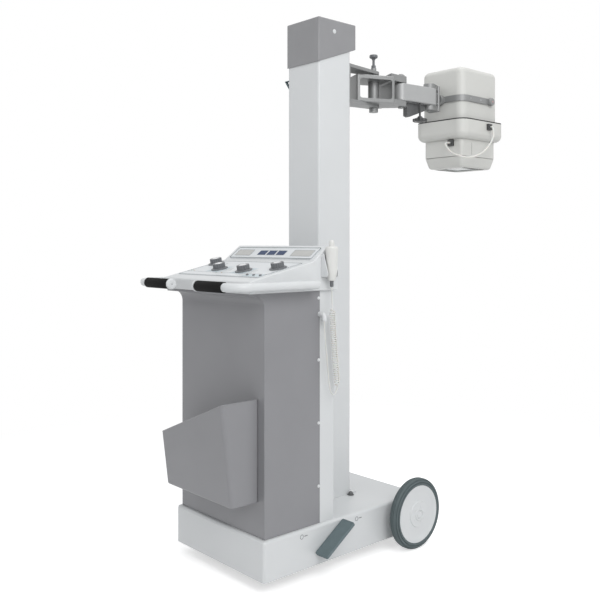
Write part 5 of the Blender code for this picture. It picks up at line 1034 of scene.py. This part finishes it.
class XRAY_OT_console(bpy.types.Operator):
    """Console housing, panels, displays, knobs and buttons"""

    bl_idname = "xray.console"
    bl_label = "Console"

    def execute(self, context):
        refined("console_housing", "moulded_white_abs", "console_white")
        refined("control_panel", "printed_film", "panel_film")
        refined("display_panel", "printed_film", "panel_film")
        refined("cord_gland", "moulded_white_abs", "console_white")
        self.control_print()
        self.display_print()
        self.knobs()
        self.buttons()
        return {"FINISHED"}

    def printed(self, name, pieces, finish, place):
        """Joins what is drawn flat into one piece and lays it on a slope."""
        piece = merged(name, *pieces)
        piece.data.transform(place)
        finished(piece, "chassis", "panel_film", finish)

    def control_print(self):
        """Outline round the control film, a tinted field under each of the two middle knobs and one by the
        buttons, scales and lamps.
        """
        ink = [frame_line("outline", -FILM_HALF, 0.0495, FILM_HALF, 0.2425, 0.005, 0.0026)]
        for x, along in KNOBS:
            for i in range(11):
                angle = math.radians(-135 + 27 * i)
                end = 0.0338 if i % 5 else 0.0352
                tick = cube("tick", (-0.0004, 0.0312, INK_LOW), (0.0004, end, INK_HIGH))
                turned(tick, -angle, "Z")
                ink.append(moved(tick, x, along, 0))
        for x0, x1, along in ((-0.165, -0.120, 0.196), (-0.050, -0.005, 0.130), (0.100, 0.140, 0.120)):
            for k in range(3):
                start = (x0, along - 0.012 + k * 0.012, INK_LOW)
                ink.append(cube("rule", start, (x1 - k * 0.008, along - 0.0108 + k * 0.012, INK_HIGH)))
        ink.append(cube("divider", (-FILM_HALF, 0.0880, INK_LOW), (FILM_HALF, 0.0888, INK_HIGH)))
        self.printed("control_ink", ink, "teal_ink", CONTROL_SLOPE)
        reach = 0.0375
        fields = [round_rect(x - reach, along - reach, x + reach, along + reach, 0.004)
                  for x, along in KNOBS if abs(x) < 0.18]
        fields.append(round_rect(0.128, 0.0560, 0.2215, 0.0850, 0.003))
        wash = [slab("field", field, WASH_LOW, WASH_HIGH) for field in fields]
        self.printed("control_wash", wash, "pale_blue_ink", CONTROL_SLOPE)
        for name, finish, places in (
                ("green_lamps", "green_lamp", ((-0.214, 0.101), (-0.205, 0.101), (-0.046, 0.088))),
                ("amber_lamps", "amber_lamp", ((-0.196, 0.101), (-0.013, 0.085)))):
            lamps = [spun("lamp", [(0, 0.0014), (0.0010, 0.0012), (0.0018, 0.0005), (0.0020, 0), (0, 0)],
                          (x, along, FILM), "Z", 20) for x, along in places]
            self.printed(name, lamps, finish, CONTROL_SLOPE)

    def display_print(self):
        """Three dark displays between two pale meter windows, framed by thin bezels."""
        ink = [frame_line("outline", -FILM_HALF, 0.0125, FILM_HALF, 0.0735, 0.005, 0.0026)]
        self.printed("display_ink", ink, "teal_ink", DISPLAY_SLOPE)
        windows = []
        for x0, x1 in ((-0.205, -0.118), (0.105, 0.205)):
            pane = slab("pane", round_rect(x0, 0.0270, x1, 0.0580, 0.003), FILM, PANE_HIGH)
            windows.append(soften(pane, 0.0003, 1))
        self.printed("meter_windows", windows, "meter_window", DISPLAY_SLOPE)
        panes = []
        for i in range(3):
            x = -0.077 + i * 0.0505
            pane = slab("pane", round_rect(x, 0.0310, x + 0.0425, 0.0540, 0.002), FILM, PANE_HIGH)
            panes.append(soften(pane, 0.0003, 1))
        self.printed("displays", panes, "display_glass", DISPLAY_SLOPE)
        bezels = []
        for x0, x1, margin in ((-0.205, -0.118, 0.0), (-0.077, 0.0665, 0.004), (0.105, 0.205, 0.0)):
            bezels.append(frame_line("bezel", x0 - 0.0018, 0.0252 + margin, x1 + 0.0018, 0.0598 - margin,
                                     0.003, 0.0008))
        self.printed("display_bezels", bezels, "teal_ink", DISPLAY_SLOPE)

    def knobs(self):
        """One fluted drum on a wide skirt, with a pointer nose and a cap painted pale as light on its top,
        copied to four places.
        """
        profile = [(0, 0.0050), (0.0240, 0.0050), (0.0270, 0.0043), (0.0290, 0.0030), (0.0295, 0.0016),
                   (0.0295, 0), (0.003, 0), (0.003, -0.012), (0, -0.012)]
        skirt = spun("skirt", profile, (0, 0, 0), "Z", 72)
        flutes = 16
        outline = []
        for i in range(flutes * 8):
            angle = math.tau * i / (flutes * 8)
            reach = 0.0215 - 0.0010 * (1 - math.cos(flutes * angle))
            outline.append((reach * math.cos(angle), reach * math.sin(angle)))
        drum = slab("drum", outline, 0.004, 0.0205)
        round_some(drum, 0.0014, 3, lambda edge: all(vert.co.z > 0.0204 for vert in edge.verts))
        bar = cube("bar", (-0.0035, 0.0100, 0.0045), (0.0035, 0.0245, 0.0135))
        soften(bar, 0.0016, 4)
        groove = cylinder("groove", (0, 0, 0.0195), 0.004, 0.0128, "Z", 64)
        carve(drum, groove)
        knob = merged("knob", flats(skirt, 38), flats(drum, 32), bar)
        cap = spun("cap", [(0, 0.0212), (0.0108, 0.0212), (0.0120, 0.0206), (0.0124, 0.0196), (0, 0.0196)],
                   (0, 0, 0), "Z", 56)
        for i, (x, along) in enumerate(KNOBS):
            name = "selector_knob_%d" % (i + 1)
            place = CONTROL_SLOPE @ Matrix.Translation((x, along, 0.0021))
            piece = copy_of(knob, name + "_grip", place)
            finished(piece, "selector_%d" % (i + 1), "knob_grey", "knob_grey_abs", name)
            # The cap's pale colour is painted light on the knob's top.
            piece = copy_of(cap, name + "_cap", place)
            finished(piece, "selector_%d" % (i + 1), "steel", "knob_top_painted_light")
        bpy.data.objects.remove(knob)
        bpy.data.objects.remove(cap)

    def buttons(self):
        """Three round push buttons with domed caps."""
        profile = [(0, 0.0058), (0.0030, 0.0057), (0.0040, 0.0052), (0.0045, 0.0042), (0.0045, -0.006),
                   (0, -0.006)]
        button = spun("button", profile, (0, 0, 0), "Z", 48)
        for i, (x, along) in enumerate(BUTTONS):
            name = "push_button_%d" % (i + 1)
            piece = copy_of(button, name + "_cap", CONTROL_SLOPE @ Matrix.Translation((x, along, 0)))
            finished(piece, "button_%d" % (i + 1), "knob_grey", "knob_grey_abs", name)
        bpy.data.objects.remove(button)


class XRAY_OT_handles(bpy.types.Operator):
    """Handle tubes, foam grips and end caps"""

    bl_idname = "xray.handles"
    bl_label = "Handles"

    def execute(self, context):
        for side, word in ((1, "right"), (-1, "left")):
            self.rail(side, word)
            self.grip(side, word)
            self.cap(side, word)
        return {"FINISHED"}

    def rail(self, side, word):
        """Bent tube with a rounded rear end, on two bosses with washers against the console."""
        radius = settings("xray_handle").tube
        bend = 0.052
        line = [(HANDLE_X, HANDLE_REAR), (HANDLE_X, 0.05)]
        line += arc((HANDLE_X - bend, HANDLE_FRONT + bend), bend, 0, -90, 28)
        line += [(0.0775, HANDLE_FRONT)]
        tube = swept("rail", [Vector((side * x, y, HANDLE_Z)) for x, y in line], radius, 12)
        dome = [(0, 0.006), (radius * 0.5, 0.0054), (radius * 0.8, 0.0036), (radius * 0.96, 0.0012),
                (radius, -0.0005), (0, -0.0005)]
        nose = spun("nose", dome, (side * HANDLE_X, HANDLE_REAR, HANDLE_Z), "Y", 48)
        parts = [tube, nose]
        for y in (0.020, 0.165):
            start = BASE_SIDE + 0.0003 if side > 0 else -HANDLE_X + 0.006
            length = HANDLE_X - BASE_SIDE - 0.0063
            parts.append(cylinder("boss", (start, y, HANDLE_Z), length, 0.009, "X", 40))
            flange = BASE_SIDE + 0.0003 if side > 0 else -BASE_SIDE - 0.0028
            washer = cylinder("washer", (flange, y, HANDLE_Z), 0.0025, 0.0125, "X", 40)
            parts.append(soften(washer, 0.0006, 2))
        piece = merged("handle_" + word + "_rail", *parts)
        finished(smooth(piece, 40), "chassis", "white_paint", "powder_coated_white", "handle_" + word)

    def grip(self, side, word):
        """Foam sleeve with softened ends."""
        radius = settings("xray_handle").grip
        half = 0.0705
        profile = [(0.0143, half), (radius - 0.0022, half), (radius - 0.0008, half - 0.0008),
                   (radius, half - 0.0026), (radius, -half + 0.0026), (radius - 0.0008, -half + 0.0008),
                   (radius - 0.0022, -half), (0.0143, -half)]
        place = (side * 0.1478, HANDLE_FRONT, HANDLE_Z)
        piece = spun("grip_" + word + "_foam", profile, place, "X", 64, True)
        finished(piece, "chassis", "black_foam", "black_foam_rubber", "grip_" + word)

    def cap(self, side, word):
        """Domed end cap with a recessed screw."""
        profile = [(0, 0.0062), (0.0034, 0.0062), (0.0038, 0.0086), (0.0150, 0.0090), (0.0166, 0.0084),
                   (0.0177, 0.0070), (0.0180, 0.0052), (0.0180, 0.0003), (0.0098, 0.0003), (0.0098, -0.010),
                   (0, -0.010)]
        cap = spun("cap", profile, (0, 0, 0), "X", 64)
        screw = screw_head("cap_screw", (0.0061, 0, 0), "X", 0.0031, 0.0016, 20)
        piece = merged("end_cap_" + word + "_moulding", cap, screw)
        turn = Matrix.Rotation(math.pi if side > 0 else 0, 4, "Z")
        piece.data.transform(Matrix.Translation((side * 0.077, HANDLE_FRONT, HANDLE_Z)) @ turn)
        finished(smooth(piece, 35), "chassis", "console_white", "moulded_white_abs", "end_cap_" + word)


class XRAY_OT_handset(bpy.types.Operator):
    """Hand switch and its exposure button"""

    bl_idname = "xray.handset"
    bl_label = "Hand switch"

    def execute(self, context):
        place = HANDSET_PLACE
        body = [(0, 1.0725), (0.0098, 1.0725), (0.0098, 1.0862), (0.0104, 1.0870), (0.0150, 1.0866),
                (0.0188, 1.0850), (0.0208, 1.0822), (0.0215, 1.0785), (0.0211, 1.0700), (0.0196, 1.0370),
                (0.0180, 1.0050), (0.0166, 0.9955), (0.0148, 0.9860), (0.0133, 0.9785), (0.0120, 0.9750),
                (0.0098, 0.9730), (0.0066, 0.9728)]
        piece = spun("handset_body", body + [(0, 0.9728)], place, "Z", 72)
        rings = [(0.0062, 0.9731)]
        for i in range(5):
            z = 0.9712 - i * 0.0036
            rings += [(0.0065, z), (0.0065, z - 0.0016), (0.0054, z - 0.0020), (0.0054, z - 0.0032)]
        rings = [(0, 0.9731)] + rings + [(0.0050, 0.9530), (0, 0.9530)]
        relief = spun("handset_relief", rings, place, "Z", 40)
        finished(flats(piece, 30), "hand_switch", "cream_plastic", "cream_gloss_abs", "handset")
        finished(relief, "hand_switch", "knob_grey", "knob_grey_abs")
        key = [(0, 1.1070), (0.0034, 1.1067), (0.0062, 1.1054), (0.0082, 1.1026), (0.0092, 1.0985),
               (0.0095, 1.0930), (0.0095, 1.0772), (0, 1.0772)]
        piece = spun("exposure_key_cap", key, place, "Z", 56)
        finished(piece, "exposure_key", "cream_plastic", "cream_gloss_abs", "exposure_button")
        self.holder(place)
        return {"FINISHED"}

    def holder(self, place):
        """Back plate with two tapered ears, between which the switch's narrowing body rests."""
        wall = BASE_SIDE + 0.0004
        middle = place[1]
        plate = cube("plate", (wall, middle - 0.0250, 0.985), (wall + 0.0024, middle + 0.0250, 1.062))
        parts = [soften(plate, 0.0008, 2)]
        outline = [(wall, 0.985), (wall + 0.0250, 0.985), (wall + 0.0310, 0.990), (wall + 0.0320, 0.998),
                   (wall + 0.0125, 1.060), (wall + 0.0095, 1.062), (wall, 1.062)]
        for start in (middle - 0.0262, middle + 0.0228):
            ear = slab("ear", outline, start, start + 0.0034, "XZ")
            parts.append(soften(ear, 0.0009, 3))
        for z in (0.9975, 1.050):
            parts.append(screw_head("holder_screw", (wall + 0.0024, middle, z), "X", 0.0030, 0.0012, 20))
        finished(merged("handset_cradle", *parts), "chassis", "console_white", "moulded_white_abs",
                 "handset_holder")


# Column and arm


class XRAY_OT_column(bpy.types.Operator):
    """Column, its cap, hook and foot bolts"""

    bl_idname = "xray.column"
    bl_label = "Column"

    def execute(self, context):
        refined("column", "powder_coated_white", "white_paint")
        refined("column_cap", "moulded_grey_abs", "cap_grey", 0.0012)
        self.hook()
        bolts, dark, caps = [], [], []
        for side in (-1, 1):
            spot = (side * 0.060, 0.560, BASE_TOP + 0.0053)
            bolts.append(screw_head("foot_bolt", spot, "Z", 0.0065, 0.0042, 6))
            spot = (side * 0.0945, 0.535, BASE_TOP + 0.0018)
            dark.append(screw_head("side_bolt", spot, "Z", 0.0092, 0.0110, 6))
            spot = (side * 0.0945, 0.535, BASE_TOP + 0.0002)
            dark.append(cylinder("washer", spot, 0.0018, 0.0120, "Z", 36))
            axis = "X" if side > 0 else "-X"
            caps.append(screw_head("cap_screw", (side * 0.0868, 0.459, 1.866), axis, 0.0080))
        finished(merged("column_bolts", *bolts), "chassis", "steel", "zinc_plated_steel")
        finished(merged("side_bolts", *dark), "chassis", "dark_metal", "dark_iron_and_keel_shade")
        finished(merged("cap_screws", *caps), "chassis", "console_white", "moulded_white_abs")
        return {"FINISHED"}

    def hook(self):
        """Bent bracket on the far side for a wound lead: level on top, with a leg that slants back down."""
        wall = -COLUMN_SIDE
        top = 1.7050
        outline = [(wall, top), (wall - 0.0260, top), (wall - 0.0275, top - 0.0015),
                   (wall - 0.0275, top - 0.0030), (wall - 0.0030, top - 0.0360), (wall, top - 0.0360)]
        bracket = slab("bracket", outline, 0.392, 0.404, "XZ")
        opening = [(wall - 0.0025, top - 0.0028), (wall - 0.0235, top - 0.0028),
                   (wall - 0.0025, top - 0.0308)]
        inside = slab("inside", opening, 0.391, 0.405, "XZ")
        carve(bracket, inside)
        finished(soften(bracket, 0.0005, 2), "chassis", "pedal_green", "moulded_pedal_rubber", "cable_hook")


class XRAY_OT_arm(bpy.types.Operator):
    """Carriage, arm links, bracket and their clamps"""

    bl_idname = "xray.arm"
    bl_label = "Arm"

    def execute(self, context):
        refined("carriage", "cast_aluminium_grey", "arm_metal", 0.0010)
        refined("arm_link_1", "cast_aluminium_grey", "arm_metal", 0.0010)
        # The outer link's paler grey is painted light.
        refined("arm_link_2", "link_paint_painted_light", "arm_metal", 0.0010)
        self.keel()
        refined("head_bracket", "cast_aluminium_grey", "arm_metal", 0.0010)
        self.tee_knob()
        self.handwheel()
        self.bolts()
        return {"FINISHED"}

    def keel(self):
        """Casting under the outer link, which carries the clamp. Its dark coat is painted shade, for the
        shade under the link.
        """
        outline = [(0.0297, 1.6666), (0.0297, 1.6128), (0.0438, 1.6087), (0.1303, 1.6407), (0.1303, 1.6666)]
        piece = slab("link_keel", outline, -0.0183, 0.0063, "YZ")
        soften(piece, 0.0018, 3)
        turned(piece, ELBOW_ANGLE, "Z")
        moved(piece, *ELBOW_PIVOT, 0)
        # The keel's dark finish is painted shade.
        finished(piece, "outer_arm", "dark_metal", "dark_iron_and_keel_shade")

    def tee_knob(self):
        """Turned clamp knob over the shoulder, on a stem with a collar."""
        profile = [(0, 1.8440), (0.0128, 1.8440), (0.0150, 1.8432), (0.0162, 1.8414), (0.0165, 1.8390),
                   (0.0165, 1.8350), (0.0155, 1.8322), (0.0120, 1.8304), (0.0090, 1.8290), (0.0060, 1.8250),
                   (0.0050, 1.8210), (0.0050, 1.8030), (0.0060, 1.8022), (0.0088, 1.8016), (0.0090, 1.8010),
                   (0.0090, 1.7903), (0.004, 1.7903), (0.004, 1.7700), (0, 1.7700)]
        piece = spun("shoulder_knob_grip", profile, SHOULDER_PLACE, "Z", 64)
        finished(flats(piece, 30), "shoulder_knob", "knob_grey", "knob_grey_abs", "shoulder_clamp_knob")

    def handwheel(self):
        """Lobed clamp wheel under the outer link, dished below, on a waisted stem."""
        place = ELBOW_KNOB_PLACE
        lobes = 8
        outline = []
        for i in range(lobes * 16):
            angle = math.tau * i / (lobes * 16)
            reach = 0.0295 * (0.945 + 0.055 * math.cos(lobes * angle))
            outline.append((place.x + reach * math.cos(angle), place.y + reach * math.sin(angle)))
        wheel = slab("wheel", outline, place.z, place.z + 0.0132)
        round_some(wheel, 0.0030, 4, lambda edge: abs(edge.verts[0].co.z - edge.verts[1].co.z) < 0.0001)
        profile = [(0, 0.0909 - 0.001), (0.004, 0.0899), (0.004, 0.024), (0.0088, 0.0222), (0.010, 0.0190),
                   (0.0178, 0.0135), (0.0178, 0.0025), (0, 0.0025)]
        stem = spun("stem", profile, place, "Z", 48)
        hollow = [(0, 0.0030), (0.010, 0.0030), (0.014, 0.0018), (0.016, -0.001), (0, -0.001)]
        dish = spun("dish", hollow, place, "Z", 40)
        carve(wheel, dish)
        piece = merged("elbow_knob_grip", flats(wheel, 35), stem)
        finished(piece, "elbow_knob", "dark_knob", "black_phenolic", "elbow_handwheel")

    def bolts(self):
        """Socket screws in the bracket and the carriage plate."""
        bracket = [screw_head("bracket_screw", (x, 1.0834, z), "-Y", 0.0042, 0.0030, 20)
                   for x in (0.0210, 0.0620) for z in (1.680, 1.722)]
        finished(merged("bracket_screws", *bracket), "wrist_bracket", "steel", "zinc_plated_steel")
        plate = [screw_head("plate_screw", (x, 0.5780, z), "Y", 0.0048, 0.0034, 20)
                 for x in (-0.042, 0.042) for z in (1.665, 1.742)]
        finished(merged("plate_screws", *plate), "lift_carriage", "steel", "zinc_plated_steel")


class XRAY_OT_head(bpy.types.Operator):
    """Tube housing, band, tray and collimator"""

    bl_idname = "xray.head"
    bl_label = "Tube head"

    def execute(self, context):
        self.housing()
        self.tray()
        self.band()
        self.collimator()
        self.knobs()
        return {"FINISHED"}

    def block(self, name, size, low, high, corner, steps=12):
        """An upright block with rounded corners, centred on the head."""
        width, length = size
        outline = round_rect(HEAD_X - width / 2, HEAD_Y - length / 2, HEAD_X + width / 2, HEAD_Y + length / 2,
                             corner, steps)
        return slab(name, outline, low, high)

    def housing(self):
        """Round-shouldered tube housing, tapped for the band's screw, on its seal."""
        piece = self.block("tube_housing", HOUSING_SIZE, 1.6145, 1.832, 0.034)
        round_some(piece, 0.024, 12, lambda edge: all(vert.co.z > 1.8319 for vert in edge.verts))
        tap = cylinder("tap", (HEAD_X + 0.103, BAND_KNOB_Y, BAND_Z), 0.02, 0.0043, "X", 24)
        carve(piece, tap)
        finished(flats(piece, 30), "tube_head", "head_shell", "warm_grey_head_paint", "head_housing")
        seal = self.block("housing_seal", SEAL_SIZE, 1.6107, 1.6142, 0.042)
        finished(flats(seal), "tube_head", "gasket_rubber", "seal_rubber", "head_gasket")

    def tray(self):
        """Tray with a round underside, and the cord's socket in its wall."""
        piece = self.block("tray_casting", TRAY_SIZE, TRAY_BOTTOM, TRAY_TOP, 0.042)
        round_some(piece, 0.028, 10,
                   lambda edge: all(vert.co.z < TRAY_BOTTOM + 0.0001 for vert in edge.verts))
        round_some(piece, 0.0025, 3,
                   lambda edge: all(vert.co.z > TRAY_TOP - 0.0001 for vert in edge.verts))
        finished(flats(piece, 30), "tube_head", "head_shell", "warm_grey_head_paint", "head_tray")
        side = HEAD_X + TRAY_SIZE[0] / 2
        socket = cube("tray_socket", (side - 0.006, 1.262, 1.575), (side + 0.0119, 1.288, 1.601))
        finished(soften(socket, 0.0022, 3), "tube_head", "dark_metal", "black_phenolic")

    def band(self):
        """Clamp band with its screws, and the knob that tightens it."""
        refined("head_band", "cast_aluminium_grey", "arm_metal", 0.0006)
        screws = []
        for y in (1.170, 1.240):
            for reach, axis in ((BAND_REACH, "X"), (-BAND_REACH, "-X")):
                spot = (HEAD_X + reach, y, BAND_Z)
                screws.append(screw_head("band_screw_head", spot, axis, 0.0035, 0.0016, 20))
        finished(merged("band_screws", *screws), "tube_head", "steel", "zinc_plated_steel")
        place = (HEAD_X + BAND_REACH + 0.0001, BAND_KNOB_Y, BAND_Z)
        profile = [(0, 0.0130), (0.0125, 0.0130), (0.0148, 0.0122), (0.0162, 0.0104), (0.0170, 0.0060),
                   (0.0175, 0.0030), (0.0175, 0.0003), (0.004, 0.0003), (0.004, -0.007), (0, -0.007)]
        knob = spun("band_knob_grip", profile, place, "X", 56)
        finished(flats(knob, 32), "band_screw", "arm_metal", "cast_aluminium_grey", "band_knob")
        disc = [(0, 0.0138), (0.0036, 0.0137), (0.0040, 0.0130), (0, 0.0130)]
        index = spun("band_knob_index", disc, place, "X", 32)
        finished(index, "band_screw", "knob_grey", "pink_index")

    def collimator(self):
        """Two shells with a shadow gap between, the window's recess, the cord's socket, and dark strips
        painted as the shade in two rail slots and in a slot on the side.
        """
        seam, bottom = 1.4601, 1.4151
        upper = self.block("upper", COLLIMATOR_SIZE, seam + 0.0015, COLLIMATOR_TOP, 0.014, 8)
        lower = self.block("lower", COLLIMATOR_SIZE, bottom, seam, 0.014, 8)
        for vert in lower.data.vertices:
            if vert.co.z < bottom + 0.001:
                vert.co.x -= math.copysign(0.012, vert.co.x - HEAD_X)
                vert.co.y -= math.copysign(0.012, vert.co.y - HEAD_Y)
        round_some(lower, 0.010, 6, lambda edge: all(vert.co.z < bottom + 0.0001 for vert in edge.verts))
        round_some(lower, 0.0015, 2, lambda edge: all(vert.co.z > seam - 0.0001 for vert in edge.verts))
        round_some(upper, 0.0015, 2, lambda edge: all(vert.co.z < seam + 0.0016 for vert in edge.verts))
        recess = cube("recess", (HEAD_X - 0.055, HEAD_Y - 0.065, bottom - 0.01),
                      (HEAD_X + 0.055, HEAD_Y + 0.065, bottom + 0.006))
        carve(lower, recess)
        core = self.block("core", (0.192, 0.230), seam - 0.002, seam + 0.0035, 0.013, 8)
        piece = merged("collimator_shell", flats(upper, 30), flats(lower, 30), core)
        holes = [cylinder("hole", (HEAD_X + x, HEAD_Y + 0.103, DIAL_Z), 0.03, 0.0033, "Y", 20)
                 for x in (-DIAL_SPREAD, DIAL_SPREAD)]
        carve(piece, *holes)
        finished(flats(piece, 30), "tube_head", "head_shell", "warm_grey_head_paint", "collimator_housing")
        front = HEAD_Y - COLLIMATOR_SIZE[1] / 2
        socket = cube("collimator_socket", (0.087, front - 0.0119, 1.504), (0.113, front + 0.002, 1.530))
        finished(soften(socket, 0.0022, 3), "tube_head", "dark_metal", "black_phenolic")
        # A thin dark line painted as the shade in a slot on the side.
        mark = cube("side_slot_shade", (HEAD_X + 0.0985, 1.1992, 1.4680), (HEAD_X + 0.0993, 1.2000, 1.5200))
        finished(mark, "tube_head", "dark_metal", "painted_slot_shade")
        # Dark strips under the shell, painted as the shade in the two rail slots.
        slots = []
        for inner, outer in ((-0.078, -0.062), (0.062, 0.078)):
            slot = cube("slot", (HEAD_X + inner, HEAD_Y - 0.070, bottom - 0.0004),
                        (HEAD_X + outer, HEAD_Y + 0.070, bottom + 0.003))
            slots.append(soften(slot, 0.001, 2))
        finished(merged("rail_slots_shade", *slots), "tube_head", "dark_metal", "painted_slot_shade")

    def knobs(self):
        """Two dials on the far face, each with a pointer groove."""
        profile = [(0, 0.0180), (0.0105, 0.0180), (0.0128, 0.0172), (0.0140, 0.0155), (0.0142, 0.0060),
                   (0.0150, 0.0030), (0.0150, 0), (0.003, 0), (0.003, -0.014), (0, -0.014)]
        for number, x in ((1, HEAD_X - DIAL_SPREAD), (2, HEAD_X + DIAL_SPREAD)):
            name = "field_knob_%d" % number
            knob = spun(name + "_grip", profile, (0, 0, 0), "Y", 60)
            index = cube("index", (-0.0005, 0.0170, 0.0030), (0.0005, 0.0190, 0.0125))
            carve(knob, index)
            moved(knob, x, HEAD_Y + 0.1183, DIAL_Z)
            finished(flats(knob, 32), "field_dial_%d" % number, "knob_grey", "knob_grey_abs", name)


class XRAY_PT_panel(bpy.types.Panel):
    """Lists the steps and their settings"""

    bl_label = "Mobile X-ray Machine"
    bl_idname = "XRAY_PT_panel"
    bl_space_type = "VIEW_3D"
    bl_region_type = "UI"
    bl_category = "X-ray"

    def draw(self, context):
        for name in SETTINGS:
            box = self.layout.box()
            group = settings(name)
            for key in group.bl_rna.properties.keys():
                if key not in ("rna_type", "name"):
                    box.prop(group, key)
        for step in STEPS:
            self.layout.operator(step.bl_idname)


SETTINGS = {
    "xray_cabinet": XrayCabinetSettings,
    "xray_handle": XrayHandleSettings,
    "xray_cord": XrayCordSettings,
    "xray_stage": XrayStageSettings,
}
STEPS = (
    XRAY_OT_stage, XRAY_OT_cords, XRAY_OT_base, XRAY_OT_wheels, XRAY_OT_cabinet, XRAY_OT_console,
    XRAY_OT_handles, XRAY_OT_handset, XRAY_OT_column, XRAY_OT_arm, XRAY_OT_head,
)


def register():
    for name, group in SETTINGS.items():
        bpy.utils.register_class(group)
        setattr(bpy.types.Scene, name, bpy.props.PointerProperty(type=group))
    for step in STEPS:
        bpy.utils.register_class(step)
    bpy.utils.register_class(XRAY_PT_panel)


def unregister():
    bpy.utils.unregister_class(XRAY_PT_panel)
    for step in reversed(STEPS):
        bpy.utils.unregister_class(step)
    for name, group in SETTINGS.items():
        delattr(bpy.types.Scene, name)
        bpy.utils.unregister_class(group)


def main():
    register()
    for step in STEPS:
        module, name = step.bl_idname.split(".")
        getattr(getattr(bpy.ops, module), name)()
    bpy.context.view_layer.update()


if __name__ == "__main__":
    main()
